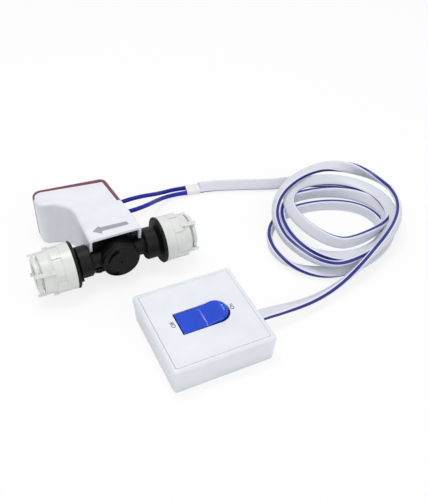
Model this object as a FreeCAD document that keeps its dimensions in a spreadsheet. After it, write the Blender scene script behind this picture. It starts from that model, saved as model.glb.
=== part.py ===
import FreeCAD, Part
import math
import os
import Sketcher

# A remote stopcock switch: a push-fit stop valve with an air-driven actuator, a wall switch box,
# and the air tubing that joins them. Millimetres, +Z up, the valve unit and the switch box on z = 0.
# The pipe runs along X, the actuator reaches back along +Y, and the switch box lies in front.

V = FreeCAD.Vector
X_AXIS = V(1, 0, 0)
Y_AXIS = V(0, 1, 0)
Z_AXIS = V(0, 0, 1)

# Driving sizes. Reach and height are measured from the valve's centre or from the floor.
SIZES = {
    # layout of the two units
    "pipe_height": 25.0,
    "switch_offset_x": 37.2,
    "switch_offset_y": 100.6,
    # push-fit ends for 22 mm pipe
    "pipe_radius": 11.0,
    "socket_gap": 0.08,
    "stop_reach": 44.0,
    "seal_seat_reach": 50.4,
    "seat_to_end": 8.2,
    "spigot_radius": 17.2,
    "flange_radius": 21.0,
    "flange_width": 2.7,
    "flange_reach": 40.6,
    "collar_radius": 14.2,
    "collar_start": 24.6,
    "collar_end": 35.4,
    "groove_radius": 12.6,
    "neck_radius": 8.5,
    "channel_radius": 6.0,
    "seal_section": 3.2,
    "spacer_width": 1.5,
    "cap_gap": 0.4,
    "cap_radius": 20.6,
    "cap_body_radius": 19.4,
    "cap_shoulder_step": 2.4,
    "cap_front_step": 9.7,
    "cap_front_radius": 17.0,
    "pad_count": 8.0,
    "prong_step": 16.4,
    "prong_width": 3.4,
    "collet_face_step": 14.8,
    "collet_lip_width": 3.2,
    "collet_lip_radius": 16.0,
    "collet_radius": 13.3,
    "inlet_set": 2.4,
    # valve chamber
    "chamber_radius": 17.0,
    "chamber_front": 10.5,
    "bore_radius": 13.0,
    "port_radius": 3.2,
    "port_reach": 4.7,
    "seat_back": -1.0,
    "cap_disc_radius": 16.6,
    "cap_disc_width": 3.2,
    "plate_half": 20.2,
    "plate_corner": 2.5,
    "plate_front": 1.5,
    "plate_width": 7.2,
    "gasket_width": 1.2,
    "bonnet_width": 5.0,
    "screw_spread": 16.5,
    "screw_radius": 1.5,
    "screw_head_radius": 2.9,
    "screw_head_height": 2.0,
    "rod_radius": 3.0,
    "running_gap": 0.05,
    # actuator casing
    "wall": 2.3,
    "head_room": 1.5,
    "mouth_reach": 3.6,
    "neck_left": 24.0,
    "neck_right": 22.8,
    "shoulder_back": 13.0,
    "back_right_x": 16.6,
    "back_right_y": 77.5,
    "back_left_y": 84.5,
    "back_corner": 8.0,
    "flare_radius": 24.0,
    "flare_flat": 4.0,
    "flare_back": 59.5,
    "rim_round": 3.0,
    "foot_round": 6.5,
    "lip_back": 6.8,
    "seam_left_y": 78.4,
    "seam_lap": 1.2,
    "seam_right_x": 12.4,
    "seam_right_y": 70.8,
    "seam_end_x": 15.9,
    "seam_end_y": 39.4,
    "lever_pivot_x": 14.0,
    "lever_pivot_y": 50.0,
    "lever_swing": 16.4,
    "lever_reach": 17.4,
    "bellows_radius": 6.3,
    "bellows_length": 18.4,
    # switch box
    "switch_side": 86.0,
    "switch_height": 25.8,
    "switch_wall": 2.7,
    "switch_corner": 5.0,
    "face_width": 2.6,
    "fixing_spread": 60.3,
    "fixing_radius": 2.25,
    "rocker_swing": 10.0,
    "pivot_height": 20.0,
    "rocker_end": 21.4,
    "rocker_half_width": 10.9,
    "rocker_lobe_radius": 13.2,
    "rocker_gap": 0.7,
    "pin_radius": 1.5,
    # tubing
    "air_tube_radius": 2.1,
    "twin_tube_radius": 3.0,
    "gland_y": -9.5,
    "gland_z": 14.6,
    "sleeve_length": 13.6,
}

doc = FreeCAD.newDocument("RemoteStopcock")
sheet = doc.addObject("Spreadsheet::Sheet", "Sizes")
for line, (size_name, value) in enumerate(SIZES.items(), start=1):
    sheet.set("A%d" % line, size_name)
    sheet.set("B%d" % line, str(value))
    sheet.setAlias("B%d" % line, size_name)
doc.recompute()


class Size:
    """A length that knows its number and the sheet formula that gives it."""

    def __init__(self, number, formula):
        self.number = float(number)
        self.formula = formula

    @staticmethod
    def of(other):
        return other if isinstance(other, Size) else Size(other, "%.9g" % other)

    def join(self, other, sign, number):
        return Size(number, "(%s %s %s)" % (self.formula, sign, Size.of(other).formula))

    def __add__(self, other):
        return self.join(other, "+", self.number + Size.of(other).number)

    def __radd__(self, other):
        return Size.of(other) + self

    def __sub__(self, other):
        return self.join(other, "-", self.number - Size.of(other).number)

    def __rsub__(self, other):
        return Size.of(other) - self

    def __mul__(self, other):
        return self.join(other, "*", self.number * Size.of(other).number)

    def __rmul__(self, other):
        return Size.of(other) * self

    def __truediv__(self, other):
        return self.join(other, "/", self.number / Size.of(other).number)

    def __neg__(self):
        return Size(-self.number, "(0 - %s)" % self.formula)


class Book:
    """The sheet's sizes, each under its own name."""


d = Book()
for size_name in SIZES:
    setattr(d, size_name, Size(sheet.get(size_name), "Sizes.%s" % size_name))

# Sizes that follow from others: the ends from the seal's seat, the casing from what it covers
d.spigot_reach = d.seal_seat_reach + d.seat_to_end
d.cap_shoulder_reach = d.spigot_reach + d.cap_shoulder_step
d.cap_front_reach = d.spigot_reach + d.cap_front_step
d.prong_reach = d.spigot_reach + d.prong_step
d.collet_face_reach = d.spigot_reach + d.collet_face_step
d.casing_height = d.pipe_height + d.plate_half + d.head_room + d.wall
d.back_left_x = d.neck_left + d.flare_radius + d.flare_flat

# The origin is the middle of the ground that the valve unit and the switch box stand on.
switch_half = d.switch_side / 2
valve_x = (d.prong_reach - d.switch_offset_x - switch_half) / 2
back_slope = (d.back_left_y - d.back_right_y) / (d.back_left_x + d.back_right_x)
valve_y = (d.switch_offset_y + switch_half - d.back_left_y + back_slope * d.back_corner) / 2
valve_z = d.pipe_height
switch_x = valve_x + d.switch_offset_x
switch_y = valve_y - d.switch_offset_y


def bind(thing, prop, size):
    """Ties a property to the sheet, or sets a plain number."""
    if isinstance(size, Size):
        thing.setExpression(prop, size.formula)
    else:
        setattr(thing, prop, size)


def place(thing, x, y, z, axis=Z_AXIS, angle=0.0, spin=0.0):
    """Puts a thing at a bound position, spun about its own X axis and then turned about an axis."""
    rotation = FreeCAD.Rotation(axis, angle).multiply(FreeCAD.Rotation(X_AXIS, spin))
    thing.Placement = FreeCAD.Placement(V(0, 0, 0), rotation)
    for letter, size in zip("xyz", (x, y, z)):
        thing.setExpression("Placement.Base." + letter, Size.of(size).formula)


def new_body(name):
    body = doc.addObject("PartDesign::Body", name)
    body.Label = name
    return body


def origin_plane(body, role):
    return [plane for plane in body.Origin.OriginFeatures if plane.Role == role][0]


def faces_back(plane):
    """The XZ plane's normal points along -Y."""
    return plane.Role == "XZ_Plane"


def new_sketch(body, role, name, lift):
    """An empty sketch, lifted off an origin plane along the positive axis."""
    plane = origin_plane(body, role)
    sketch = body.newObject("Sketcher::SketchObject", name)
    sketch.AttachmentSupport = [(plane, "")]
    sketch.MapMode = "FlatFace"
    lift = Size.of(lift)
    sketch.setExpression("AttachmentOffset.Base.z", (-lift if faces_back(plane) else lift).formula)
    return sketch


def draw(body, role, name, corners, lift=0.0):
    """A closed outline on an origin plane. A corner is (x, y), or (x, y, radius, turn) where the
    edge that leaves it is an arc: turn is +1 anticlockwise, -1 clockwise."""
    sketch = new_sketch(body, role, name, lift)
    corners = [tuple(Size.of(value) for value in corner[:3]) + tuple(corner[3:]) for corner in corners]
    edges = []
    ends = []
    for index, corner in enumerate(corners):
        after = corners[(index + 1) % len(corners)]
        start = V(corner[0].number, corner[1].number, 0)
        end = V(after[0].number, after[1].number, 0)
        if len(corner) == 2:
            edges.append(Part.LineSegment(start, end))
            ends.append((1, 2))
            continue
        radius = corner[2].number
        turn = corner[3]
        chord = end - start
        rise = math.sqrt(max(radius ** 2 - chord.Length ** 2 / 4, 0.0))
        centre = start + chord / 2 + V(-chord.y, chord.x, 0).normalize() * rise * turn
        angles = [math.atan2(point.y - centre.y, point.x - centre.x) for point in (start, end)]
        if turn < 0:
            angles.reverse()
        edges.append(Part.ArcOfCircle(Part.Circle(centre, Z_AXIS, radius), *angles))
        ends.append((1, 2) if turn > 0 else (2, 1))
    rules = []
    for index, corner in enumerate(corners):
        after = (index + 1) % len(corners)
        rules.append((Sketcher.Constraint("Coincident", index, ends[index][1], after, ends[after][0]), None))
        for kind, size in (("DistanceX", corner[0]), ("DistanceY", corner[1])):
            rules.append((Sketcher.Constraint(kind, -1, 1, index, ends[index][0], size.number), size))
        if len(corner) == 4:
            rules.append((Sketcher.Constraint("Radius", index, corner[2].number), corner[2]))
    return constrained(sketch, edges, rules)


def constrained(sketch, edges, rules):
    """Adds edges and their constraints at once, and ties each length to its formula."""
    sketch.addGeometry(edges, False)
    sketch.addConstraint([rule for rule, _ in rules])
    for number, (_, size) in enumerate(rules):
        if size is not None:
            sketch.setExpression("Constraints[%d]" % number, size.formula)
    return sketch


def ring_sketch(body, role, name, x, y, radius, lift=0.0):
    """A circle on an origin plane."""
    sketch = new_sketch(body, role, name, lift)
    x, y, radius = Size.of(x), Size.of(y), Size.of(radius)
    return constrained(sketch, [Part.Circle(V(x.number, y.number, 0), Z_AXIS, radius.number)], [
        (Sketcher.Constraint("Radius", 0, radius.number), radius),
        (Sketcher.Constraint("DistanceX", -1, 1, 0, 3, x.number), x),
        (Sketcher.Constraint("DistanceY", -1, 1, 0, 3, y.number), y)])


def feature(body, kind, name, sketch, length=None, **settings):
    """Adds a feature to a body and checks that it changed the solid. A pad or pocket runs from its
    sketch towards the positive axis."""
    before = body.Shape.Volume if body.Tip else 0.0
    item = body.newObject("PartDesign::" + kind, name)
    item.Profile = sketch
    for prop, value in settings.items():
        setattr(item, prop, value)
    if length is not None:
        item.setExpression("Length", Size.of(length).formula)
        item.Reversed = faces_back(sketch.AttachmentSupport[0][0]) == (kind == "Pad")
    body.Tip = item
    doc.recompute()
    change = body.Shape.Volume - before
    shrinks = kind in ("Pocket", "Groove")
    if (change >= -1e-6) if shrinks else (change <= 1e-6):
        raise ValueError("%s changes nothing in %s" % (name, body.Label))
    return item


def turned(body, kind, name, sketch, axis):
    return feature(body, kind, name, sketch, ReferenceAxis=(sketch, [axis]), Angle=360.0)


def soften(body, kind, name, size, chosen):
    """Fillets or chamfers the edges that a test picks."""
    base = body.Tip
    edges = ["Edge%d" % (index + 1) for index, edge in enumerate(base.Shape.Edges) if chosen(edge)]
    item = body.newObject("PartDesign::" + kind, name)
    item.Base = (base, edges)
    item.setExpression("Radius" if kind == "Fillet" else "Size", Size.of(size).formula)
    body.Tip = item
    doc.recompute()
    return item


def repeat_round(body, name, item, axis_role, count):
    """Repeats a feature around one of the body's axes."""
    pattern = body.newObject("PartDesign::PolarPattern", name)
    pattern.Originals = [item]
    axis = [line for line in body.Origin.OriginFeatures if line.Role == axis_role][0]
    pattern.Axis = (axis, [""])
    pattern.Angle = 360.0
    pattern.Occurrences = count
    body.Tip = pattern
    doc.recompute()
    return pattern


def near(a, b, slack=0.02):
    return abs(a - b) < slack


def upright_at(x, y):
    """Picks the vertical edge over a point."""
    x, y = Size.of(x).number, Size.of(y).number

    def test(edge):
        ends = [vertex.Point for vertex in edge.Vertexes]
        return len(ends) == 2 and all(near(end.x, x) and near(end.y, y) for end in ends) \
            and abs(ends[0].z - ends[1].z) > 1.0
    return test


def turned_piece(name, outline, axis="H_Axis", role="XY_Plane"):
    """A body made by turning one outline."""
    body = new_body(name)
    turned(body, "Revolution", name + "_turn", draw(body, role, name + "_outline", outline), axis)
    return body


def padded_piece(name, role, outline, length, lift=0.0, **settings):
    """A body made by padding one outline."""
    body = new_body(name)
    feature(body, "Pad", name + "_pad", draw(body, role, name + "_outline", outline, lift), length,
            **settings)
    return body


def rectangle(x0, x1, y0, y1):
    return [(x0, y0), (x1, y0), (x1, y1), (x0, y1)]


def radial_bar(half, low, high, tilt):
    """The end of a bar that stands out from an axis, turned about it by a tilt in radians."""
    corners = [(-half, low), (half, low), (half, high), (-half, high)]
    return [(x * math.cos(tilt) - y * math.sin(tilt), x * math.sin(tilt) + y * math.cos(tilt))
            for x, y in corners]


def rounded_square(half, radius):
    """A square about the origin with rounded corners."""
    flat = half - radius
    return [
        (-flat, -half),
        (flat, -half, radius, 1),
        (half, -flat),
        (half, flat, radius, 1),
        (flat, half),
        (-flat, half, radius, 1),
        (-half, flat),
        (-half, -flat, radius, 1),
    ]


def solid(kind, name, **sizes):
    """A Part primitive with bound sizes."""
    item = doc.addObject("Part::" + kind, name)
    item.Label = name
    for prop, size in sizes.items():
        bind(item, prop, size)
    return item


def mixed(kind, name, base, tool):
    """A boolean of two things."""
    item = doc.addObject("Part::" + kind, name)
    item.Label = name
    item.Base = base
    item.Tool = tool
    return item


def fused(name, things):
    item = doc.addObject("Part::MultiFuse", name)
    item.Label = name
    item.Shapes = things
    return item


pieces = {}


def keep(item, node=None):
    """Marks a thing as one of the object's own pieces."""
    node = node or item.Label
    item.Label = node
    pieces[node] = item
    return item


# Valve body: the two pipe ends, one turned profile along the pipe axis
socket_radius = d.pipe_radius + d.socket_gap
seal_outer = socket_radius + d.seal_section
plate_back = d.plate_front + d.plate_width


def pipe_end_outline(side):
    """Half of the body's outer profile, from the chamber to one end. side is +1 or -1."""
    return [
        (side * 0.0, d.neck_radius),
        (side * d.collar_start, d.neck_radius),
        (side * d.collar_start, d.collar_radius - 1.2),
        (side * (d.collar_start + 1.2), d.collar_radius),
        (side * d.collar_end, d.collar_radius),
        (side * (d.collar_end + 0.8), d.groove_radius),
        (side * (d.flange_reach - d.flange_width - 0.6), d.groove_radius + 1.4),
        (side * (d.flange_reach - d.flange_width), d.flange_radius - 1.0),
        (side * (d.flange_reach - d.flange_width + 0.8), d.flange_radius),
        (side * (d.flange_reach - 0.8), d.flange_radius),
        (side * d.flange_reach, d.flange_radius - 0.8),
        (side * d.flange_reach, d.spigot_radius),
        (side * (d.spigot_reach - 1.0), d.spigot_radius),
        (side * d.spigot_reach, d.spigot_radius - 1.0),
    ]


def valve_body():
    body = new_body("valve_body")
    right = pipe_end_outline(1)
    left = pipe_end_outline(-1)
    outline = right[1:] + [(d.spigot_reach, 0.0), (-d.spigot_reach, 0.0)] + left[:0:-1]
    turned(body, "Revolution", "pipe_ends", draw(body, "XY_Plane", "pipe_profile", outline), "H_Axis")
    chamber = rectangle(0.0, d.chamber_radius, -d.chamber_front, d.plate_front + 0.5)
    chamber[1] = (d.chamber_radius - 0.8, -d.chamber_front)
    chamber.insert(2, (d.chamber_radius, -d.chamber_front + 0.8))
    turned(body, "Revolution", "chamber_wall", draw(body, "XY_Plane", "chamber_profile", chamber), "V_Axis")
    plate = draw(body, "XZ_Plane", "plate_outline", rounded_square(d.plate_half, d.plate_corner),
                 d.plate_front)
    feature(body, "Pad", "plate", plate, d.plate_width)
    hole = ring_sketch(body, "XZ_Plane", "screw_hole_ring", d.screw_spread, d.screw_spread,
                       d.screw_radius + 0.2, d.plate_front - 1.0)
    item = feature(body, "Pocket", "screw_hole", hole, d.plate_width + 2.0)
    repeat_round(body, "screw_holes", item, "Y_Axis", 4)
    # a stop lug low on the outlet collar, under the flange
    lug = draw(body, "YZ_Plane", "stop_lug_outline",
               radial_bar(2.2, d.collar_radius - 3.0, d.collar_radius + 2.4, math.radians(138.0)),
               -d.flange_reach + 2.0)
    feature(body, "Pad", "stop_lug", lug, 4.4)
    for side, label in ((1, "inlet"), (-1, "outlet")):
        socket = [
            (side * (d.spigot_reach + 1.0), 0.0),
            (side * (d.spigot_reach + 1.0), seal_outer + 0.08),
            (side * d.seal_seat_reach, seal_outer + 0.08),
            (side * d.seal_seat_reach, socket_radius),
            (side * d.stop_reach, socket_radius),
            (side * d.stop_reach, d.channel_radius + 2.5),
            (side * (d.stop_reach - 6.0), d.channel_radius),
            (side * (d.bore_radius + 3.0), d.channel_radius),
            (side * (d.bore_radius + 3.0), 0.0),
        ]
        turned(body, "Groove", label + "_socket", draw(body, "XY_Plane", label + "_socket_profile", socket),
               "H_Axis")
    bore = ring_sketch(body, "XZ_Plane", "bore_ring", 0.0, 0.0, d.bore_radius, -d.chamber_front - 1.0)
    feature(body, "Pocket", "bore", bore, d.chamber_front + plate_back + 2.0)
    port = ring_sketch(body, "YZ_Plane", "port_ring", -d.port_reach, 0.0, d.port_radius,
                       -d.bore_radius - 4.0)
    feature(body, "Pocket", "ports", port, 2 * d.bore_radius + 8.0)
    # a cross wall in the bore is the seat that the plunger closes on
    seat_front = -d.chamber_front + 2.4
    wall = draw(body, "XZ_Plane", "seat_wall_outline",
                rectangle(-2.0, 2.0, -d.bore_radius - 0.5, d.bore_radius + 0.5), seat_front)
    feature(body, "Pad", "seat_wall", wall, d.seat_back - seat_front)
    place(body, valve_x, valve_y, valve_z)
    return keep(body)


valve_body()


# Front cap of the chamber, with its grip recess
def chamber_cap():
    front = d.chamber_front + d.cap_disc_width
    outline = [
        (0.0, -front),
        (d.cap_disc_radius - 0.9, -front),
        (d.cap_disc_radius, -front + 0.9),
        (d.cap_disc_radius, -d.chamber_front),
        (d.bore_radius - 0.1, -d.chamber_front),
        (d.bore_radius - 0.1, -d.chamber_front + 0.6),
        (d.bore_radius - 1.5, -d.chamber_front + 0.6),
        (d.bore_radius - 1.5, -d.chamber_front + 2.2),
        (0.0, -d.chamber_front + 2.2),
    ]
    body = turned_piece("chamber_cap", outline, "V_Axis")
    outer = d.cap_disc_radius - 1.5
    inner = outer - 4.2
    high = (math.cos(math.radians(100.0)), math.sin(math.radians(100.0)))
    low = (math.cos(math.radians(255.0)), math.sin(math.radians(255.0)))
    recess = [
        (outer * high[0], outer * high[1], outer, 1),
        (-outer, 0.0, outer, 1),
        (outer * low[0], outer * low[1]),
        (inner * low[0], inner * low[1], inner, -1),
        (-inner, 0.0, inner, -1),
        (inner * high[0], inner * high[1]),
    ]
    sketch = draw(body, "XZ_Plane", "grip_recess_outline", recess, -front - 0.5)
    feature(body, "Pocket", "grip_recess", sketch, 2.1)
    boss = ring_sketch(body, "XZ_Plane", "centre_dimple_ring", 0.0, 0.0, 1.2, -front - 0.5)
    feature(body, "Pocket", "centre_dimple", boss, 1.2)
    place(body, valve_x, valve_y, valve_z)
    return keep(body)


chamber_cap()


def seal_ring(name, radius, section, x, y, z, axis, angle):
    """An O-ring: a torus turned onto its axis."""
    ring = solid("Torus", name, Radius1=radius, Radius2=section)
    place(ring, x, y, z, axis, angle)
    return keep(ring)


seal_ring("chamber_seal", d.bore_radius - 0.75, 0.7, valve_x, valve_y - d.chamber_front + 1.4, valve_z,
          X_AXIS, 90.0)


# Plunger with its rod and the eye that the lever's finger works in
eye_y = d.lever_pivot_y - d.lever_pivot_x * math.sin(math.radians(SIZES["lever_swing"] / 2))


def main_plunger():
    head_front = 1.2
    outline = [
        (0.0, head_front),
        (d.bore_radius - 0.12, head_front),
        (d.bore_radius - 0.12, head_front + 0.4),
        (d.bore_radius - 1.6, head_front + 0.4),
        (d.bore_radius - 1.6, head_front + 2.0),
        (d.rod_radius, head_front + 2.0),
        (d.rod_radius, eye_y - 3.4),
        (0.0, eye_y - 3.4),
    ]
    body = turned_piece("main_plunger", outline, "V_Axis")
    eye = draw(body, "XY_Plane", "eye_outline",
               rectangle(-5.0, 5.4, eye_y - 4.4, eye_y + 4.4), -3.5)
    feature(body, "Pad", "eye", eye, 7.0)
    window = draw(body, "XY_Plane", "eye_window",
                  rectangle(-2.6, 3.0, eye_y - 2.2, eye_y + 2.2), -4.5)
    feature(body, "Pocket", "eye_slot", window, 9.0)
    place(body, valve_x, valve_y, valve_z)
    return keep(body)


main_plunger()
seal_ring("plunger_seal", d.bore_radius - 0.85, 0.7, valve_x, valve_y + 2.4, valve_z, X_AXIS, 90.0)


def plunger_washer():
    """The rubber disc that closes on the seat wall."""
    disc = solid("Cylinder", "plunger_washer", Radius=d.bore_radius - 0.6, Height=1.9)
    place(disc, valve_x, valve_y + 1.2, valve_z, X_AXIS, 90.0)
    return keep(disc)


plunger_washer()


# Gasket and bonnet behind the valve body, with the four flange screws
def square_plate(name, front, width, hole):
    body = padded_piece(name, "XZ_Plane", rounded_square(d.plate_half, d.plate_corner), width, front)
    centre = ring_sketch(body, "XZ_Plane", name + "_bore_ring", 0.0, 0.0, hole, front - 1.0)
    feature(body, "Pocket", name + "_bore", centre, width + 2.0)
    corner = ring_sketch(body, "XZ_Plane", name + "_hole_ring", d.screw_spread, d.screw_spread,
                         d.screw_radius + 0.2, front - 1.0)
    item = feature(body, "Pocket", name + "_hole", corner, width + 2.0)
    repeat_round(body, name + "_holes", item, "Y_Axis", 4)
    place(body, valve_x, valve_y, valve_z)
    return keep(body)


gasket_back = plate_back + d.gasket_width
bonnet_back = gasket_back + d.bonnet_width
square_plate("bonnet_gasket", plate_back, d.gasket_width, d.bore_radius)
square_plate("bonnet", gasket_back, d.bonnet_width, d.rod_radius + d.running_gap)


def flange_screws():
    shank = d.plate_width + d.gasket_width + d.bonnet_width
    head = d.screw_head_height
    outline = [
        (0.0, -head),
        (d.screw_head_radius - 0.7, -head),
        (d.screw_head_radius, -head + 0.7),
        (d.screw_head_radius, 0.0),
        (d.screw_radius, 0.0),
        (d.screw_radius, shank),
        (0.0, shank),
    ]
    screws = []
    for index, (side, level) in enumerate(((1, 1), (1, -1), (-1, 1), (-1, -1))):
        body = turned_piece("flange_screw_%d" % (index + 1), outline, "V_Axis")
        cross = draw(body, "XZ_Plane", "drive_slot_%d" % (index + 1),
                     rectangle(-1.7, 1.7, -0.35, 0.35), -head - 0.5)
        item = feature(body, "Pocket", "slot_%d" % (index + 1), cross, 1.5)
        repeat_round(body, "cross_%d" % (index + 1), item, "Y_Axis", 4)
        place(body, valve_x + side * d.screw_spread, valve_y + d.plate_front,
              valve_z + level * d.screw_spread)
        screws.append(body)
    return keep(fused("flange_screws", screws))


flange_screws()


# Push-fit pieces at each end; the outlet's are the inlet's, turned half round
def at_end(thing, side, spin=0.0):
    place(thing, valve_x, valve_y, valve_z, Z_AXIS, 0.0 if side > 0 else 180.0, spin)
    return keep(thing)


def set_in(side):
    """How much less far the inlet's cap and collet stand out than the outlet's."""
    return d.inlet_set if side > 0 else Size.of(0.0)


# how far each cap is screwed round, in degrees
CAP_SPIN = {"screw_cap_inlet": -18.0, "screw_cap_outlet": -7.0}


def screw_cap(name, side):
    inner = d.spigot_radius + d.cap_gap
    skirt = d.flange_reach + 0.3
    pad_start = d.cap_shoulder_reach - 11.0
    front = d.cap_front_reach - set_in(side)
    outline = [
        (skirt, inner),
        (skirt, d.cap_radius),
        (pad_start, d.cap_radius - 0.3),
        (pad_start + 0.7, d.cap_body_radius),
        (d.cap_shoulder_reach - 3.2, d.cap_body_radius - 0.2),
        (d.cap_shoulder_reach, d.cap_front_radius + 0.9),
        (front - 0.8, d.cap_front_radius),
        (front, d.cap_front_radius - 0.8),
        (front, d.collet_radius + 0.3),
        (front - 2.4, d.collet_radius + 0.3),
        (d.spigot_reach + 3.0, d.collet_radius + 1.2),
        (d.spigot_reach + 0.6, inner),
    ]
    body = turned_piece(name, outline)
    # one raised grip pad, repeated round the cap
    step = math.pi / SIZES["pad_count"]
    top = d.cap_radius - 0.2
    low = d.cap_body_radius - 1.2
    reach = 0.62 * step
    pad_outline = [
        (-top * math.sin(reach), top * math.cos(reach)),
        (-low * math.sin(reach), low * math.cos(reach)),
        (low * math.sin(reach), low * math.cos(reach)),
        (top * math.sin(reach), top * math.cos(reach), top, 1),
    ]
    pad_sketch = draw(body, "YZ_Plane", name + "_pad_outline", pad_outline, pad_start + 0.2)
    pad = feature(body, "Pad", name + "_pad", pad_sketch, d.cap_shoulder_reach - pad_start - 3.0)
    repeat_round(body, name + "_pads", pad, "X_Axis", int(SIZES["pad_count"]))
    # four prongs run from the grip pads to past the collet
    prong_start = d.cap_shoulder_reach - 4.0
    bar = radial_bar(d.prong_width / 2, d.collet_lip_radius + 0.45, d.cap_front_radius + 1.7, math.pi / 4)
    prong_sketch = draw(body, "YZ_Plane", name + "_prong_outline", bar, d.cap_shoulder_reach - 0.8)
    prong = feature(body, "Pad", name + "_prong", prong_sketch,
                    d.prong_reach - 1.4 * set_in(side) - d.cap_shoulder_reach + 0.8)
    repeat_round(body, name + "_prongs", prong, "X_Axis", 4)
    rib_sketch = draw(body, "YZ_Plane", name + "_rib_outline",
                      radial_bar(d.prong_width / 2, d.cap_body_radius - 1.2, d.cap_radius + 0.5, math.pi / 4),
                      prong_start)
    rib = feature(body, "Pad", name + "_rib", rib_sketch, 4.6)
    repeat_round(body, name + "_ribs", rib, "X_Axis", 4)
    return at_end(body, side, CAP_SPIN[name])


def collet(name, side):
    """The release collet: a lip outside, a sleeve inside with jaws slotted at its tail."""
    face = d.collet_face_reach - set_in(side)
    tail = d.spigot_reach + 2.2
    bore = socket_radius + 0.06
    outline = [
        (tail, bore),
        (tail, d.collet_radius - 0.5),
        (tail + 0.8, d.collet_radius),
        (face - d.collet_lip_width, d.collet_radius),
        (face - d.collet_lip_width, d.collet_lip_radius - 0.5),
        (face - d.collet_lip_width + 0.5, d.collet_lip_radius),
        (face - 1.0, d.collet_lip_radius),
        (face, d.collet_lip_radius - 1.0),
        (face, bore + 0.8),
        (face - 0.8, bore),
    ]
    body = turned_piece(name, outline)
    slot = draw(body, "YZ_Plane", name + "_slot_outline",
                rectangle(-0.7, 0.7, bore - 1.0, d.collet_radius + 1.0), tail - 1.0)
    item = feature(body, "Pocket", name + "_slot", slot, 6.0)
    repeat_round(body, name + "_slots", item, "X_Axis", 6)
    return at_end(body, side)


def flat_ring(name, side, start, width, inner, outer):
    return at_end(turned_piece(name, [(start, inner), (start + width, inner),
                                      (start + width, outer), (start, outer)]), side)


def pipe_seal(name, side):
    ring = solid("Torus", name, Radius1=socket_radius + 0.06 + d.seal_section / 2 - 0.03,
                 Radius2=d.seal_section / 2 - 0.03)
    place(ring, valve_x + side * (d.seal_seat_reach + d.seal_section / 2), valve_y, valve_z, Y_AXIS, 90.0)
    return keep(ring)


for side, end in ((1, "inlet"), (-1, "outlet")):
    seal_end = d.seal_seat_reach + d.seal_section
    pipe_seal("pipe_seal_" + end, side)
    flat_ring("spacer_ring_" + end, side, seal_end + 0.1, d.spacer_width, socket_radius + 0.06, seal_outer)
    flat_ring("grab_ring_" + end, side, d.spigot_reach + 1.5, 0.5, socket_radius + 0.06,
              d.collet_radius - 0.4)
    collet("collet_" + end, side)
    screw_cap("screw_cap_" + end, side)


# Actuator casing: one outline, split by a seam into a housing and a back cover
def casing_outline(inset, mouth):
    """The casing seen from above, drawn in by a wall. mouth is how far it reaches forward."""
    right_back = d.back_right_x - inset
    left = -d.back_left_x + inset
    middle_x = d.flare_radius + d.neck_left
    middle_y = d.flare_back - d.flare_radius
    flare = d.flare_radius + inset
    return [
        (d.neck_right - inset, -mouth),
        (d.neck_right - inset, d.shoulder_back),
        (right_back, d.back_right_y - inset),
        (left, d.back_right_y - inset + back_slope * (right_back - left)),
        (left, middle_y + flare),
        (-middle_x, middle_y + flare, flare, -1),
        (-d.neck_left + inset, middle_y),
        (-d.neck_left + inset, -mouth),
    ]


def casing_block(name, inset, mouth, floor, height):
    """The casing's outer or inner solid, with its corners rounded."""
    outline = casing_outline(inset, mouth)
    body = padded_piece(name, "XY_Plane", outline, height, floor)
    back_right, back_left, front_left = outline[2], outline[3], outline[4]
    for label, corner, radius in (("back_right", back_right, 7.0), ("back_left", back_left, d.back_corner),
                                  ("front_left", front_left, 2 * d.flare_flat + 0.5)):
        soften(body, "Fillet", name + "_" + label, radius - inset, upright_at(corner[0], corner[1]))
    front = -Size.of(mouth).number
    bottom = Size.of(floor)
    for label, level, radius in (("foot", bottom, d.foot_round - inset),
                                 ("rim", bottom + height, d.rim_round - inset * 0.7)):
        soften(body, "Fillet", name + "_" + label, radius, lambda edge: (
            all(near(v.Point.z, level.number) for v in edge.Vertexes)
            and not all(near(v.Point.y, front) for v in edge.Vertexes)))
    return body


def cover_side():
    """The space behind the seam, where the back cover is. The cover laps round the left corner."""
    far = 2 * d.back_left_x
    corner = d.back_corner - 1.0
    lap = -d.back_left_x + d.seam_lap
    outline = [
        (-far, d.seam_left_y - corner),
        (lap, d.seam_left_y - corner, corner, -1),
        (lap + corner, d.seam_left_y),
        (d.seam_right_x, d.seam_right_y),
        (d.seam_end_x, d.seam_end_y),
        (far, d.seam_end_y - 1.0),
        (far, far + d.back_left_y),
        (-far, far + d.back_left_y),
    ]
    return padded_piece("cover_side", "XY_Plane", outline, d.casing_height + 2.0, -1.0)


casing = mixed("Cut", "casing_shell",
               casing_block("casing_outer", 0.0, d.mouth_reach, 0.0, d.casing_height + 0.0),
               casing_block("casing_inner", d.wall, d.mouth_reach + 2.0, d.wall,
                            d.casing_height - 2 * d.wall))
behind_seam = cover_side()


def pipe_notch():
    """The mouth's side walls are cut away round the pipe."""
    gap = d.neck_radius + 0.8
    bar = solid("Cylinder", "notch_round", Radius=gap, Height=70.0)
    place(bar, -35.0, 0.0, valve_z, Y_AXIS, 90.0)
    slot = solid("Box", "notch_slot", Length=70.0, Width=d.mouth_reach + 3.0, Height=2 * gap)
    place(slot, -35.0, -d.mouth_reach - 3.0, valve_z - gap)
    return fused("pipe_notch", [bar, slot])


def mouth_slope():
    """The mouth's lower lip stands back from its upper lip."""
    outline = [
        (-3 * d.lip_back, -1.0),
        (d.lip_back, -1.0),
        (d.lip_back, 0.0),
        (-d.mouth_reach, d.casing_height - d.rim_round),
        (-3 * d.lip_back, d.casing_height - d.rim_round),
    ]
    return padded_piece("mouth_slope", "YZ_Plane", outline, 70.0, -35.0)


# Spouts for the air tubes stand in the cover's right wall
spout_level = valve_z - 0.5
spout_rows = (d.seam_end_y + 9.6, d.seam_end_y + 25.6)


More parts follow.
